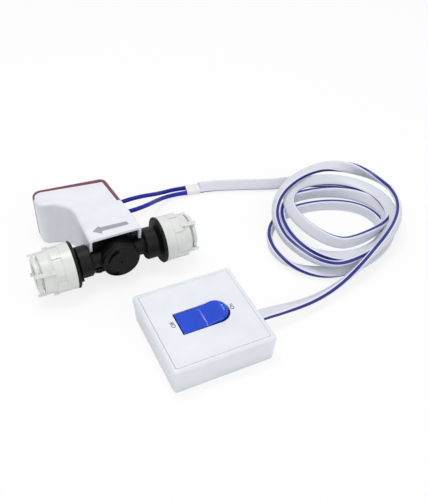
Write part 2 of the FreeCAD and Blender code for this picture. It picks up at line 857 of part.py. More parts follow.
def wall_x(y):
    """Where the right wall's outer face is, that far back."""
    return d.neck_right - (d.neck_right - d.back_right_x) * ((y - d.shoulder_back) /
                                                          (d.back_right_y - d.shoulder_back))


def spout_hole(index, y):
    bar = solid("Cylinder", "spout_hole_%d" % index, Radius=2.8, Height=12.0)
    place(bar, wall_x(y) - 7.0, y, spout_level, Y_AXIS, 90.0)
    return bar


open_casing = mixed("Cut", "open_casing", casing, fused("mouth_cuts", [pipe_notch(), mouth_slope()]))
housing = keep(mixed("Cut", "actuator_housing", open_casing, behind_seam))
cover_blank = mixed("Common", "cover_blank", casing, behind_seam)
holes = fused("spout_holes", [spout_hole(index, y) for index, y in enumerate(spout_rows)])
cover = keep(mixed("Cut", "back_cover", cover_blank, holes))
for item in (housing, cover):
    place(item, valve_x, valve_y, 0.0)


def air_spouts():
    """Two flanged spouts, seated in the cover's wall, that the air tubes push onto."""
    spouts = []
    for index, y in enumerate(spout_rows):
        outline = [
            (-4.6, 0.0),
            (-4.6, 4.2),
            (-2.8, 4.2),
            (-2.8, 2.7),
            (1.4, 2.7),
            (1.8, 2.3),
            (1.8, 0.9),
            (-3.6, 0.9),
            (-3.6, 0.0),
        ]
        body = turned_piece("air_spout_%d" % (index + 1), outline)
        place(body, valve_x + wall_x(y), valve_y + y, spout_level)
        spouts.append(body)
    return keep(fused("air_spouts", spouts))


air_spouts()


# Actuator works: frame, lever on its pin, and two bellows that push the lever's tail
frame_low = 7.4
frame_plate = 2.6
frame_top = d.casing_height - frame_low
tail_y = d.lever_pivot_y + d.lever_reach
push_gap = 5.4


def actuator_frame():
    """Two level plates and the side flanges that the bellows push from."""
    front = bonnet_back
    back = tail_y + d.bellows_radius + 0.8
    wing = tail_y - d.bellows_radius
    right = -d.lever_pivot_x + push_gap + d.bellows_length + frame_plate
    left = -d.lever_pivot_x - push_gap - d.bellows_length - frame_plate
    plan = [(-19.0, front), (right, front), (right, back), (left, back), (left, wing), (-24.0, wing),
            (-19.0, d.lever_pivot_y)]
    body = new_body("actuator_frame")
    for label, level in (("low", frame_low), ("top", frame_top - frame_plate)):
        feature(body, "Pad", label + "_plate", draw(body, "XY_Plane", label + "_plate_outline", plan, level),
                frame_plate)
        if label == "low":
            for side, x in (("left", left), ("right", right - frame_plate)):
                flange = draw(body, "YZ_Plane", side + "_flange_outline",
                              rectangle(wing, back, frame_low, frame_top), x)
                feature(body, "Pad", side + "_flange", flange, frame_plate)
    hole = ring_sketch(body, "XY_Plane", "pivot_hole_ring", -d.lever_pivot_x, d.lever_pivot_y,
                       d.pin_radius + d.running_gap, 0.0)
    feature(body, "Pocket", "pivot_hole", hole, d.casing_height)
    place(body, valve_x, valve_y, 0.0)
    return keep(body)


def actuator_lever():
    """A bell crank: a tail between the bellows, and a finger that works in the plunger's eye."""
    low = -9.5
    body = new_body("actuator_lever")
    hub = ring_sketch(body, "XY_Plane", "hub_ring", 0.0, 0.0, 4.2, low)
    feature(body, "Pad", "hub", hub, 19.0)
    arm = draw(body, "XY_Plane", "arm_outline", rectangle(0.0, d.lever_pivot_x + 1.0, -2.2, 2.2), low)
    feature(body, "Pad", "arm", arm, 4.6)
    tail = draw(body, "XY_Plane", "tail_outline",
                rectangle(-2.0, 2.0, 0.0, d.lever_reach + d.bellows_radius - 2.0), low + 4.5)
    feature(body, "Pad", "tail", tail, 10.0)
    finger = ring_sketch(body, "XY_Plane", "finger_ring", d.lever_pivot_x, 0.0, 1.7, low)
    feature(body, "Pad", "finger", finger, 13.5)
    bore = ring_sketch(body, "XY_Plane", "lever_bore_ring", 0.0, 0.0, d.pin_radius + d.running_gap,
                       low - 1.0)
    feature(body, "Pocket", "lever_bore", bore, 22.0)
    place(body, valve_x - d.lever_pivot_x, valve_y + d.lever_pivot_y, valve_z, Z_AXIS,
          -SIZES["lever_swing"] / 2)
    return keep(body)


def round_pin(name, radius, length, x, y, z, axis, angle):
    pin = solid("Cylinder", name, Radius=radius, Height=length)
    place(pin, x, y, z, axis, angle)
    return keep(pin)


def bellows_outline(radius, length, folds):
    """A ribbed bulb: a zigzag wall between a flat foot and a flat crown."""
    pitch = length / folds
    points = [(0.0, 0.0), (radius, 0.0)]
    for fold in range(folds):
        points.append((radius, pitch * (fold + 0.25)))
        points.append((radius - 1.6, pitch * (fold + 0.5)))
        points.append((radius, pitch * (fold + 0.75)))
    points.append((radius, length))
    points.append((0.0, length))
    return points


def bellows(name, radius, length, folds, x, y, z, axis=Z_AXIS, angle=0.0):
    body = turned_piece(name, bellows_outline(radius, length, folds), "V_Axis", "XZ_Plane")
    place(body, x, y, z, axis, angle)
    return keep(body)


actuator_frame()
actuator_lever()
round_pin("lever_pin", d.pin_radius, frame_top - frame_low, valve_x - d.lever_pivot_x,
          valve_y + d.lever_pivot_y, frame_low, Z_AXIS, 0.0)
for node, side in (("actuator_bellows_close", -1), ("actuator_bellows_open", 1)):
    bellows(node, d.bellows_radius, d.bellows_length, 5,
            valve_x - d.lever_pivot_x + side * (push_gap + d.bellows_length), valve_y + tail_y, valve_z,
            Y_AXIS, -90.0 * side)


# Switch box: a square back box, a flush face plate and the rocker
face_low = d.switch_height - d.face_width
floor_thick = 2.4


def switch_base():
    body = padded_piece("switch_base", "XY_Plane", rounded_square(switch_half, d.switch_corner),
                        d.switch_height)
    top = SIZES["switch_height"]
    soften(body, "Fillet", "base_rim", d.switch_wall - 0.4,
           lambda edge: all(near(v.Point.z, top) for v in edge.Vertexes))
    soften(body, "Fillet", "base_foot", 1.2,
           lambda edge: all(near(v.Point.z, 0.0) for v in edge.Vertexes))
    inner = switch_half - d.switch_wall
    hollow = draw(body, "XY_Plane", "hollow_outline", rectangle(-inner, inner, -inner, inner), floor_thick)
    feature(body, "Pocket", "hollow", hollow, d.switch_height)
    post = d.switch_wall + 4.6
    for index, (side, end) in enumerate(((1, 1), (1, -1), (-1, 1), (-1, -1))):
        x = side * (switch_half - post)
        y = end * (switch_half - post)
        ring = ring_sketch(body, "XY_Plane", "post_ring_%d" % index, x, y, 4.7, floor_thick - 0.4)
        feature(body, "Pad", "post_%d" % index, ring, face_low - floor_thick + 0.4)
    for index, side in enumerate((1, -1)):
        ring = ring_sketch(body, "XY_Plane", "fixing_ring_%d" % index, 0.0, side * d.fixing_spread / 2,
                           d.fixing_radius, -1.0)
        feature(body, "Pocket", "fixing_hole_%d" % index, ring, floor_thick + 2.0)
    slot = draw(body, "YZ_Plane", "gland_slot_outline",
                rectangle(d.gland_y - 6.6, d.gland_y + 6.6, d.gland_z - 3.9, d.gland_z + 3.9), inner - 1.0)
    feature(body, "Pocket", "gland_slot", slot, d.switch_wall + 2.0)
    place(body, switch_x, switch_y, 0.0)
    return keep(body)


def rocker_plan(gap):
    """The rocker seen from above: a square end and a round lobe. gap widens it for the opening."""
    lobe = d.rocker_lobe_radius + gap
    half = d.rocker_half_width + gap
    centre = d.rocker_end + 1.2 - d.rocker_lobe_radius
    meet = math.sqrt(lobe.number ** 2 - half.number ** 2)
    return [
        (-d.rocker_end - gap, half),
        (-d.rocker_end - gap, -half),
        (centre - meet, -half, lobe, 1),
        (centre + lobe, 0.0, lobe, 1),
        (centre - meet, half),
    ]


def switch_face():
    half = switch_half - d.switch_wall - 0.15
    body = padded_piece("switch_face", "XY_Plane", rounded_square(half, 2.0), d.face_width, face_low)
    opening = draw(body, "XY_Plane", "rocker_opening", rocker_plan(d.rocker_gap), face_low - 1.0)
    feature(body, "Pocket", "opening", opening, d.face_width + 2.0)
    place(body, switch_x, switch_y, 0.0)
    return keep(body)


def rocker():
    """The rocker at rest, its square end pressed in and its lobe standing proud."""
    body = new_body("rocker_blank")
    plan = draw(body, "XY_Plane", "rocker_plan", rocker_plan(0.0), 17.0)
    feature(body, "Pad", "rocker_block", plan, 15.0)
    end = d.rocker_end
    top = d.switch_height
    side_room = 2 * d.rocker_half_width
    above = top + 12.0
    # the crown: a shallow saddle from the pressed end up to the proud lobe
    crown = [
        (-end - 2.0, top - 1.6),
        (-end + 14.0, top - 0.1, 60.0, 1),
        (end + 2.6, top + 3.5),
        (end + 2.6, above),
        (-end - 2.0, above),
    ]
    saddle = draw(body, "XZ_Plane", "crown_outline", crown, -side_room)
    feature(body, "Pocket", "crown", saddle, 2 * side_room)
    under = [
        (-end - 2.0, 16.0),
        (end + 4.0, 16.0),
        (end + 4.0, top - 1.2),
        (end - 1.4, top - 2.4),
        (3.6, d.pivot_height + 1.8),
        (3.6, 17.0),
        (-3.6, 17.0),
        (-3.6, d.pivot_height + 1.2),
        (-end + 1.0, top - 5.2),
        (-end - 2.0, top - 5.2),
    ]
    below = draw(body, "XZ_Plane", "underside_outline", under, -side_room)
    feature(body, "Pocket", "underside", below, 2 * side_room)
    bore = ring_sketch(body, "XZ_Plane", "rocker_bore_ring", 0.0, d.pivot_height,
                       d.pin_radius + d.running_gap, -side_room)
    feature(body, "Pocket", "rocker_bore", bore, 2 * side_room)
    # what stays clear of the opening at the end of the swing
    room = padded_piece("rocker_room", "XY_Plane", rocker_plan(d.rocker_gap - 0.4), d.switch_height,
                         -d.switch_height / 2)
    place(room, 0.0, 0.0, d.pivot_height, Y_AXIS, -SIZES["rocker_swing"])
    trimmed = mixed("Common", "rocker", body, room)
    place(trimmed, switch_x, switch_y, 0.0)
    return keep(trimmed, "rocker")


tray_low = floor_thick
tray_top = tray_low + 3.0
lug_y = d.rocker_half_width + 2.4
top_at_rest = {"off": d.pivot_height + 0.3, "on": d.pivot_height + 1.9}
bellows_x = 15.0


def bellows_tray():
    """The tray that carries the two air bulbs and the lugs of the rocker's pin."""
    tray_end = d.rocker_end + 4.6
    body = padded_piece("bellows_tray", "XY_Plane", rectangle(-tray_end, tray_end, -lug_y - 3.0, lug_y + 3.0),
                        tray_top - tray_low, tray_low)
    for label, side in (("back", 1), ("front", -1)):
        lug = [
            (-5.5, tray_top - 0.5),
            (5.5, tray_top - 0.5),
            (3.4, d.pivot_height + 2.4),
            (-3.4, d.pivot_height + 2.4),
        ]
        sketch = draw(body, "XZ_Plane", label + "_lug_outline", lug, side * lug_y - 1.4)
        feature(body, "Pad", label + "_lug", sketch, 2.8)
    bore = ring_sketch(body, "XZ_Plane", "lug_bore_ring", 0.0, d.pivot_height, d.pin_radius + d.running_gap,
                       -24.0)
    feature(body, "Pocket", "lug_bores", bore, 48.0)
    place(body, switch_x, switch_y, 0.0)
    return keep(body)


switch_base()
switch_face()
rocker()
bellows_tray()
round_pin("rocker_pin", d.pin_radius, 2 * lug_y + 3.4, switch_x, switch_y + lug_y + 1.7, d.pivot_height,
          X_AXIS, 90.0)
bellows("switch_bellows_off", 7.5, top_at_rest["off"] - tray_top, 4, switch_x - bellows_x, switch_y, tray_top)
bellows("switch_bellows_on", 7.5, top_at_rest["on"] - tray_top, 4, switch_x + bellows_x, switch_y, tray_top)


# Tubing. A route is straight runs joined by tangent arcs.
def route_wire(points, scale=0.45):
    """The wire of a route, and the radii of its arcs."""
    edges = []
    radii = []
    start = points[0]
    for index in range(1, len(points) - 1):
        before, corner, after = points[index - 1], points[index], points[index + 1]
        run_in = corner - before
        run_out = after - corner
        turn = run_in.getAngle(run_out)
        cut = scale * min(run_in.Length, run_out.Length)
        radii.append(cut / math.tan(turn / 2))
        enter = corner - V(run_in).normalize() * cut
        leave = corner + V(run_out).normalize() * cut
        bisector = (V(run_out).normalize() - V(run_in).normalize()).normalize()
        middle = corner + bisector * (radii[-1] / math.cos(turn / 2) - radii[-1])
        edges.append(Part.LineSegment(start, enter).toShape())
        edges.append(Part.Arc(enter, middle, leave).toShape())
        start = leave
    edges.append(Part.LineSegment(start, points[-1]).toShape())
    return Part.Wire(edges), radii


def swept_tube(name, wire, radius):
    """One closed tube along a wire, as a piece of the object."""
    first = wire.OrderedEdges[0]
    heading = first.tangentAt(first.FirstParameter)
    profile = Part.Wire([Part.makeCircle(radius, wire.OrderedVertexes[0].Point, heading)])
    shape = wire.makePipeShell([profile], True, False)
    length = wire.Length
    print("%s: length %.1f, volume %.1f against %.1f" % (
        name, length, shape.Volume, math.pi * radius ** 2 * length))
    item = doc.addObject("Part::Feature", name)
    item.Label = name
    item.Shape = shape
    item.Placement = FreeCAD.Placement(V(valve_x.number, valve_y.number, 0), FreeCAD.Rotation())
    return keep(item)


def from_valve(points):
    return [V(*point) for point in points]


# All routes are measured from the valve's centre, at floor level.
air_radius = d.air_tube_radius.number
twin_radius = d.twin_tube_radius.number
sleeve_start = V(102.2, 82.3, 3.4)
sleeve_heading = V(0.983, -0.183, 0.0).normalize()
sleeve_end = sleeve_start + sleeve_heading * SIZES["sleeve_length"]
sleeve_across = V(-sleeve_heading.y, sleeve_heading.x, 0)
spout_x = [wall_x(y).number + 1.9 for y in spout_rows]

AIR_ROUTES = (
    ("air_tube_close", spout_rows[1].number, spout_x[1], 1, ((37.1, 67.0, 23.8), (52.0, 72.4, 19.0),
                                                            (65.5, 78.5, 12.4), (77.8, 85.1, 6.3),
                                                            (87.1, 87.5, 4.3))),
    ("air_tube_open", spout_rows[0].number, spout_x[0], -1, ((37.3, 50.5, 23.4), (52.2, 57.3, 19.4),
                                                            (63.9, 69.1, 11.4), (75.7, 76.7, 6.5),
                                                            (84.5, 79.3, 4.3))),
)
SPOUT_STRAIGHT = 6.5
SLEEVE_STRAIGHT = 8.0


def air_tubes():
    for name, y, x, side, middle in AIR_ROUTES:
        end = sleeve_start + sleeve_across * 4.1 * side
        start = V(x, y, spout_level.number)
        points = [start, start + X_AXIS * SPOUT_STRAIGHT] + from_valve(middle)
        points += [end - sleeve_heading * SLEEVE_STRAIGHT, end]
        wire, radii = route_wire(points)
        print(name, "radii", [round(radius, 1) for radius in radii])
        swept_tube(name, wire, air_radius)


def tube_sleeve():
    """The flat collar where the two air tubes join the twin tube."""
    body = padded_piece("tube_sleeve", "YZ_Plane", rectangle(-6.5, 6.5, -2.9, 2.9), d.sleeve_length)
    soften(body, "Fillet", "sleeve_edges", 2.4, lambda edge: (
        len(edge.Vertexes) == 2 and abs(edge.Vertexes[0].Point.x - edge.Vertexes[1].Point.x) > 5.0))
    turn = math.degrees(math.atan2(sleeve_heading.y, sleeve_heading.x))
    place(body, valve_x + sleeve_start.x, valve_y + sleeve_start.y, sleeve_start.z, Z_AXIS, turn)
    return keep(body)


# The coil: each quarter turn is a quarter of an ellipse between two extreme points, clockwise
# seen from above, in the order back, right, front, left.
COIL_EXTREMES = (
    ("back", (187.0, 48.4), 5.4),
    ("right", (273.5, -16.6), 5.2),
    ("front", (190.0, -85.6), 5.0),
    ("left", (138.4, -38.6), 5.0),
    ("back", (188.0, 7.8), 5.0),
    ("right", (254.2, -34.6), 5.6),
    ("front", (205.0, -77.4), 10.2),
    ("left", (160.0, -32.8), 11.8),
    ("back", (195.0, 18.6), 12.4),
    ("right", (262.8, -32.6), 12.4),
    ("front", (200.0, -68.4), 19.4),
    ("left", (173.4, -13.6), 19.0),
    ("back", (209.0, 27.8), 19.4),
    ("right", (267.4, -28.4), 18.5),
    ("front", (184.0, -86.0), 14.2),
    ("left", (148.0, -35.4), 19.6),
    ("back", (227.0, 36.0), 26.6),
    ("right", (278.2, -20.6), 24.6),
)
COIL_STEPS = 4
COIL_FIRST_TURN = 22.0


def coil_points():
    """Points round the coil, from its first quarter's start angle to its last extreme point."""
    points = []
    for index in range(len(COIL_EXTREMES) - 1):
        name, (x0, y0), z0 = COIL_EXTREMES[index]
        _, (x1, y1), z1 = COIL_EXTREMES[index + 1]
        begin = math.radians(COIL_FIRST_TURN) if index == 0 else 0.0
        for step in range(COIL_STEPS):
            angle = begin + (math.pi / 2 - begin) * step / COIL_STEPS
            rise = (1 - math.cos(2 * angle)) / 2
            if name in ("back", "front"):
                x = x0 + (x1 - x0) * math.sin(angle)
                y = y1 + (y0 - y1) * math.cos(angle)
            else:
                x = x1 + (x0 - x1) * math.cos(angle)
                y = y0 + (y1 - y0) * math.sin(angle)
            points.append(V(x, y, z0 + (z1 - z0) * rise))
    _, (x, y), z = COIL_EXTREMES[-1]
    points.append(V(x, y, z))
    return points


def headings(points, first, last):
    """The direction of the route at each point, with given directions at its ends."""
    result = [first]
    for index in range(1, len(points) - 1):
        result.append((points[index + 1] - points[index - 1]).normalize())
    result.append(last)
    return result


def biarc(p0, t0, p1, t1):
    """Two tangent arcs between two points with given headings."""
    span = p1 - p0
    both = t0 + t1
    a = 2.0 * (1.0 - t0.dot(t1))
    b = 2.0 * span.dot(both)
    c = -span.dot(span)
    length = -c / b if abs(a) < 1e-9 else (-b + math.sqrt(b * b - 4 * a * c)) / (2 * a)
    q0 = p0 + t0 * length
    q1 = p1 - t1 * length
    joint = (q0 + q1) / 2
    edges = []
    for start, heading, end in ((p0, t0, joint), (joint, (q1 - q0).normalize(), p1)):
        chord = end - start
        off = V(chord).normalize()
        across = heading - off * heading.dot(off)
        if across.Length < 1e-4:
            edges.append(Part.LineSegment(start, end).toShape())
            continue
        angle = heading.getAngle(chord)
        middle = start + chord / 2 + across.normalize() * (chord.Length / 2 * math.tan(angle / 2))
        edges.append(Part.Arc(start, middle, end).toShape())
    return edges


def least_gap(wire, radius):
    """The least distance between parts of a wound tube that aren't neighbours along it."""
    count = int(wire.Length / 3.0)
    points = wire.discretize(Number=count)
    step = wire.Length / (count - 1)
    skip = int(math.ceil(30.0 / step))
    least = 1e9
    for index, point in enumerate(points):
        for other in points[index + skip:]:
            least = min(least, point.distanceToPoint(other))
    return least - 2 * radius


RUN_IN = ((125.8, 77.9, 3.4), (140.0, 73.2, 4.6), (156.0, 66.8, 5.2), (173.0, 59.6, 5.4), (190.0, 52.6, 5.4))
RUN_OUT = ((272.0, -41.6, 24.6), (260.8, -58.4, 25.0), (246.0, -71.8, 24.4), (230.4, -80.8, 22.6),
           (214.6, -87.2, 19.8), (197.2, -93.4, 14.4), (175.0, -100.2, 9.4), (152.2, -105.6, 8.0),
           (129.2, -109.6, 10.0), (106.2, -110.6, 13.0), (89.2, -110.1, 14.6))


def twin_tube():
    """The twin tube: a run from the sleeve, the coil, and a run to the switch box."""
    coil = coil_points()
    first = (coil[1] - coil[0]).normalize()
    last = (V(*RUN_OUT[0]) - coil[-1]).normalize()
    straight = 2 * twin_radius
    coil_start = coil[0] - first * straight
    coil_end = coil[-1] + last * straight
    run_in = [sleeve_end] + from_valve(RUN_IN) + [coil_start - first * 12.0, coil_start]
    wire, radii = route_wire(run_in)
    print("twin tube, valve end: radii", [round(radius, 1) for radius in radii])
    swept_tube("twin_tube_valve_end", wire, twin_radius)
    way = headings(coil, first, last)
    edges = [Part.LineSegment(coil_start, coil[0]).toShape()]
    for index in range(len(coil) - 1):
        edges += biarc(coil[index], way[index], coil[index + 1], way[index + 1])
    edges.append(Part.LineSegment(coil[-1], coil_end).toShape())
    wire = Part.Wire(edges)
    tightest = min(edge.Curve.Radius for edge in edges if hasattr(edge.Curve, "Radius"))
    print("coil: length %.0f, tightest radius %.1f, least gap %.2f" % (
        wire.Length, tightest, least_gap(wire, twin_radius)))
    swept_tube("twin_tube_coil", wire, twin_radius)
    gland_x = (switch_x - valve_x + switch_half).number
    gland = V(gland_x, (switch_y - valve_y + d.gland_y).number, d.gland_z.number)
    run_out = [coil_end] + from_valve(RUN_OUT) + [gland]
    wire, radii = route_wire(run_out)
    print("twin tube, switch end: radii", [round(radius, 1) for radius in radii])
    swept_tube("twin_tube_switch_end", wire, twin_radius)


def tube_gland():
    """The clip that holds the twin tube in the switch box's wall."""
    inner = switch_half - d.switch_wall
    body = padded_piece("tube_gland", "YZ_Plane",
                        rectangle(d.gland_y - 6.2, d.gland_y + 6.2, d.gland_z - 3.5, d.gland_z + 3.5),
                        d.switch_wall, inner)
    flange = draw(body, "YZ_Plane", "gland_flange_outline",
                  rectangle(d.gland_y - 8.6, d.gland_y + 8.6, d.gland_z - 5.6, d.gland_z + 5.6), inner - 2.0)
    feature(body, "Pad", "gland_flange", flange, 2.0)
    place(body, switch_x, switch_y, 0.0)
    return keep(body)


air_tubes()
tube_sleeve()
twin_tube()
tube_gland()


# Check every object, then write one file for each piece
doc.recompute()
for item in doc.Objects:
    if "Invalid" in item.State or "Error" in item.State:
        raise ValueError("%s failed: %s" % (item.Label, item.State))
os.makedirs("parts", exist_ok=True)
for node, item in pieces.items():
    shape = item.Shape
    if shape.isNull() or not shape.isValid() or not shape.Solids:
        raise ValueError("%s has no valid solid" % node)
    shape.exportStep("parts/%s.step" % node)
print("%d pieces written" % len(pieces))
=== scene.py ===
"""A remote stopcock switch: a push-fit stop valve with an air-driven actuator, a wall switch box with a
rocker, and the coiled twin air tube between them, dressed over its CAD frame. Metres, +Z up."""

import logging
import math
from dataclasses import dataclass, field
from enum import Enum

import bmesh
import bpy
import numpy as np
from mathutils import Matrix, Vector


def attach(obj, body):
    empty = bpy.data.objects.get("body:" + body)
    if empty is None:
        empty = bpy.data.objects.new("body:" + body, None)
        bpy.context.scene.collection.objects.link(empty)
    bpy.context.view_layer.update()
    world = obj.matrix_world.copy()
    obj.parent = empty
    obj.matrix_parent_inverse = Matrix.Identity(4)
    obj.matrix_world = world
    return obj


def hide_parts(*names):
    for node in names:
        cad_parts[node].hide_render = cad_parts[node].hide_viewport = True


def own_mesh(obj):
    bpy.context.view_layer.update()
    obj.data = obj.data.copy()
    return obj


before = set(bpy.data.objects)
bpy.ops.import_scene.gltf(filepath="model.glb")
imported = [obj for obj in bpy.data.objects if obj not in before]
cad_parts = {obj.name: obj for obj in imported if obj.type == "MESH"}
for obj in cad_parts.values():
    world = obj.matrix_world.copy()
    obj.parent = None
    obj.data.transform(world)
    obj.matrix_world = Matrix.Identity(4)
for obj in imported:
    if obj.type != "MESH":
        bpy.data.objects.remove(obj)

logging.basicConfig(level=logging.INFO, format="%(message)s")
log = logging.getLogger("stopcock")

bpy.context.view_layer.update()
MM = 0.001
IMAGE_SIZE = (428, 500)
# in the CAD frame, in mm: the valve's centre on the floor, the switch box's centre on the floor, and the
# height of the box's face
VALVE_MM = (-2.6, 29.958, 0.0)
SWITCH_MM = (34.6, -70.642, 0.0)
FACE_MM = 25.8


def from_valve(*points: tuple[float, float, float]) -> np.ndarray:
    """Points measured in mm from the valve's centre on the floor, moved to the CAD frame in metres.

    Args:
        points: the points, each (x, y, z) in mm.

    Returns:
        One row per point, in metres.
    """
    return (np.array(points, dtype=float) + np.array(VALVE_MM)) * MM


def linear(hex_colour: str) -> tuple[float, float, float, float]:
    """Turns an sRGB hex colour into linear RGBA.

    Args:
        hex_colour: the colour, such as "#aabbcc".

    Returns:
        Linear red, green, blue and alpha.
    """
    values = [int(hex_colour[i:i + 2], 16) / 255 for i in (1, 3, 5)]
    return tuple(v / 12.92 if v <= 0.04045 else ((v + 0.055) / 1.055) ** 2.4 for v in values) + (1.0,)


def add_node(tree: bpy.types.NodeTree, kind: str, links: dict | None = None, **settings) -> bpy.types.Node:
    """Adds a shader node with its settings and its incoming links.

    Args:
        tree: the node tree.
        kind: the node's type name without the ShaderNode prefix.
        links: input name or number to an output socket, or to a plain value.
        settings: properties of the node.

    Returns:
        The new node.
    """
    node = tree.nodes.new("ShaderNode" + kind)
    for name, value in settings.items():
        setattr(node, name, value)
    for key, value in (links or {}).items():
        if isinstance(value, bpy.types.NodeSocket):
            tree.links.new(value, node.inputs[key])
        else:
            node.inputs[key].default_value = value
    return node


def new_mesh(name: str, points: np.ndarray, faces: list[list[int]], smooth: bool = True) -> bpy.types.Object:
    """Makes a mesh object from points and faces.

    Args:
        name: the object's name.
        points: one row per vertex, in metres.
        faces: the vertex numbers of each face.
        smooth: whether faces are shaded smooth.

    Returns:
        The object, linked to the scene.
    """
    mesh = bpy.data.meshes.new(name)
    mesh.from_pydata(points.tolist(), [], faces)
    mesh.polygons.foreach_set("use_smooth", np.full(len(faces), smooth))
    mesh.update()
    piece = bpy.data.objects.new(name, mesh)
    bpy.context.scene.collection.objects.link(piece)
    return piece


def grid_quads(rows: int, columns: int, looped: bool = False) -> np.ndarray:
    """Faces of a grid of rings.

    Args:
        rows: how many rings.
        columns: how many points in each ring.
        looped: whether the last ring joins the first.

    Returns:
        One row of four vertex numbers per face.
    """
    i, j = np.meshgrid(np.arange(rows if looped else rows - 1), np.arange(columns), indexing="ij")
    k = (j + 1) % columns
    m = (i + 1) % rows
    return np.stack([i * columns + j, i * columns + k, m * columns + k, m * columns + j],
                    axis=-1).reshape(-1, 4)


def capped_tube(name: str, rings: np.ndarray) -> bpy.types.Object:
    """Skins a row of rings and closes its two ends with fans round their middles.

    Args:
        name: the object's name.
        rings: the rings' points, rings by points by three, in metres.

    Returns:
        The tube.
    """
    rows, count = rings.shape[:2]
    near = np.arange(count)
    following = (near + 1) % count
    last = (rows - 1) * count
    start_fan = np.stack([np.full(count, rows * count), following, near], axis=1)
    end_fan = np.stack([np.full(count, rows * count + 1), last + near, last + following], axis=1)
    faces = grid_quads(rows, count).tolist() + start_fan.tolist() + end_fan.tolist()
    points = np.vstack([rings.reshape(-1, 3), rings[0].mean(axis=0), rings[-1].mean(axis=0)])
    return new_mesh(name, points, faces)


def smooth_step(value: np.ndarray, start: float, end: float) -> np.ndarray:
    """Goes from 0 at start to 1 at end in a smooth S.

    Args:
        value: where it is read.
        start: the value up to which it is 0.
        end: the value from which it is 1.

    Returns:
        The share at each value.
    """
    share = np.clip((value - start) / (end - start), 0.0, 1.0)
    return share * share * (3 - 2 * share)


class Coat(Enum):
    """How a moulded surface was finished."""

    POLISHED = "polished mould"
    SATIN = "fine spark texture"
    MATT = "coarse spark texture"


GRAIN_DEPTHS = {Coat.SATIN: 0.05, Coat.MATT: 0.10}


@dataclass(frozen=True)
class MouldedPlastic:
    """Injection-moulded plastic: an even colour with a faint flow mottle, and fine mould texture."""

    name: str
    colour: str
    roughness: float
    coat: Coat = Coat.SATIN
    mottle: float = 0.04
    specular: float = 0.5
    grain_mm: float = 0.9
    grain_height: float = 0.0001
    flow_scale: float = 38.0
    # how far the roughness goes below and above its value
    sheen_range: tuple[float, float] = (0.04, 0.06)

    def make(self) -> bpy.types.Material:
        """Builds the material.

        Returns:
            The material.
        """
        material = bpy.data.materials.new(self.name)
        material.use_nodes = True
        tree = material.node_tree
        shader = tree.nodes["Principled BSDF"]
        place = add_node(tree, "TexCoord").outputs["Object"]
        flow = add_node(tree, "TexNoise", {"Vector": place, "Scale": self.flow_scale, "Detail": 3.0})
        base = linear(self.colour)
        low = tuple(max(c * (1 - 2 * self.mottle), 0.0) for c in base[:3]) + (1.0,)
        ramp = add_node(tree, "ValToRGB", {"Fac": flow.outputs["Fac"]})
        ramp.color_ramp.elements[0].position = 0.3
        ramp.color_ramp.elements[0].color = low
        ramp.color_ramp.elements[1].position = 0.7
        ramp.color_ramp.elements[1].color = base
        tree.links.new(ramp.outputs["Color"], shader.inputs["Base Color"])
        less, more = self.sheen_range
        sheen = add_node(tree, "MapRange", {"Value": flow.outputs["Fac"], "To Min": self.roughness - less,
                                            "To Max": self.roughness + more})
        tree.links.new(sheen.outputs["Result"], shader.inputs["Roughness"])
        if self.coat in GRAIN_DEPTHS:
            grain = add_node(tree, "TexNoise", {"Vector": place, "Scale": 1000 / self.grain_mm,
                                                "Detail": 2.0})
            bump = add_node(tree, "Bump", {"Height": grain.outputs["Fac"], "Distance": self.grain_height,
                                           "Strength": GRAIN_DEPTHS[self.coat]})
            tree.links.new(bump.outputs["Normal"], shader.inputs["Normal"])
        shader.inputs["IOR"].default_value = 1.5
        shader.inputs["Specular IOR Level"].default_value = self.specular
        return material


@dataclass(frozen=True)
class TurnedSteel:
    """Plated steel, bright with faint turning lines."""

    name: str
    colour: str
    roughness: float = 0.3

    def make(self) -> bpy.types.Material:
        """Builds the material.

        Returns:
            The material.
        """
        material = bpy.data.materials.new(self.name)
        material.use_nodes = True
        tree = material.node_tree
        shader = tree.nodes["Principled BSDF"]
        place = add_node(tree, "TexCoord").outputs["Object"]
        tone = add_node(tree, "TexNoise", {"Vector": place, "Scale": 900.0, "Detail": 2.0})
        ramp = add_node(tree, "ValToRGB", {"Fac": tone.outputs["Fac"]})
        base = linear(self.colour)
        ramp.color_ramp.elements[0].color = tuple(c * 0.8 for c in base[:3]) + (1.0,)
        ramp.color_ramp.elements[1].color = base
        tree.links.new(ramp.outputs["Color"], shader.inputs["Base Color"])
        shader.inputs["Metallic"].default_value = 1.0
        shader.inputs["Roughness"].default_value = self.roughness
        return material


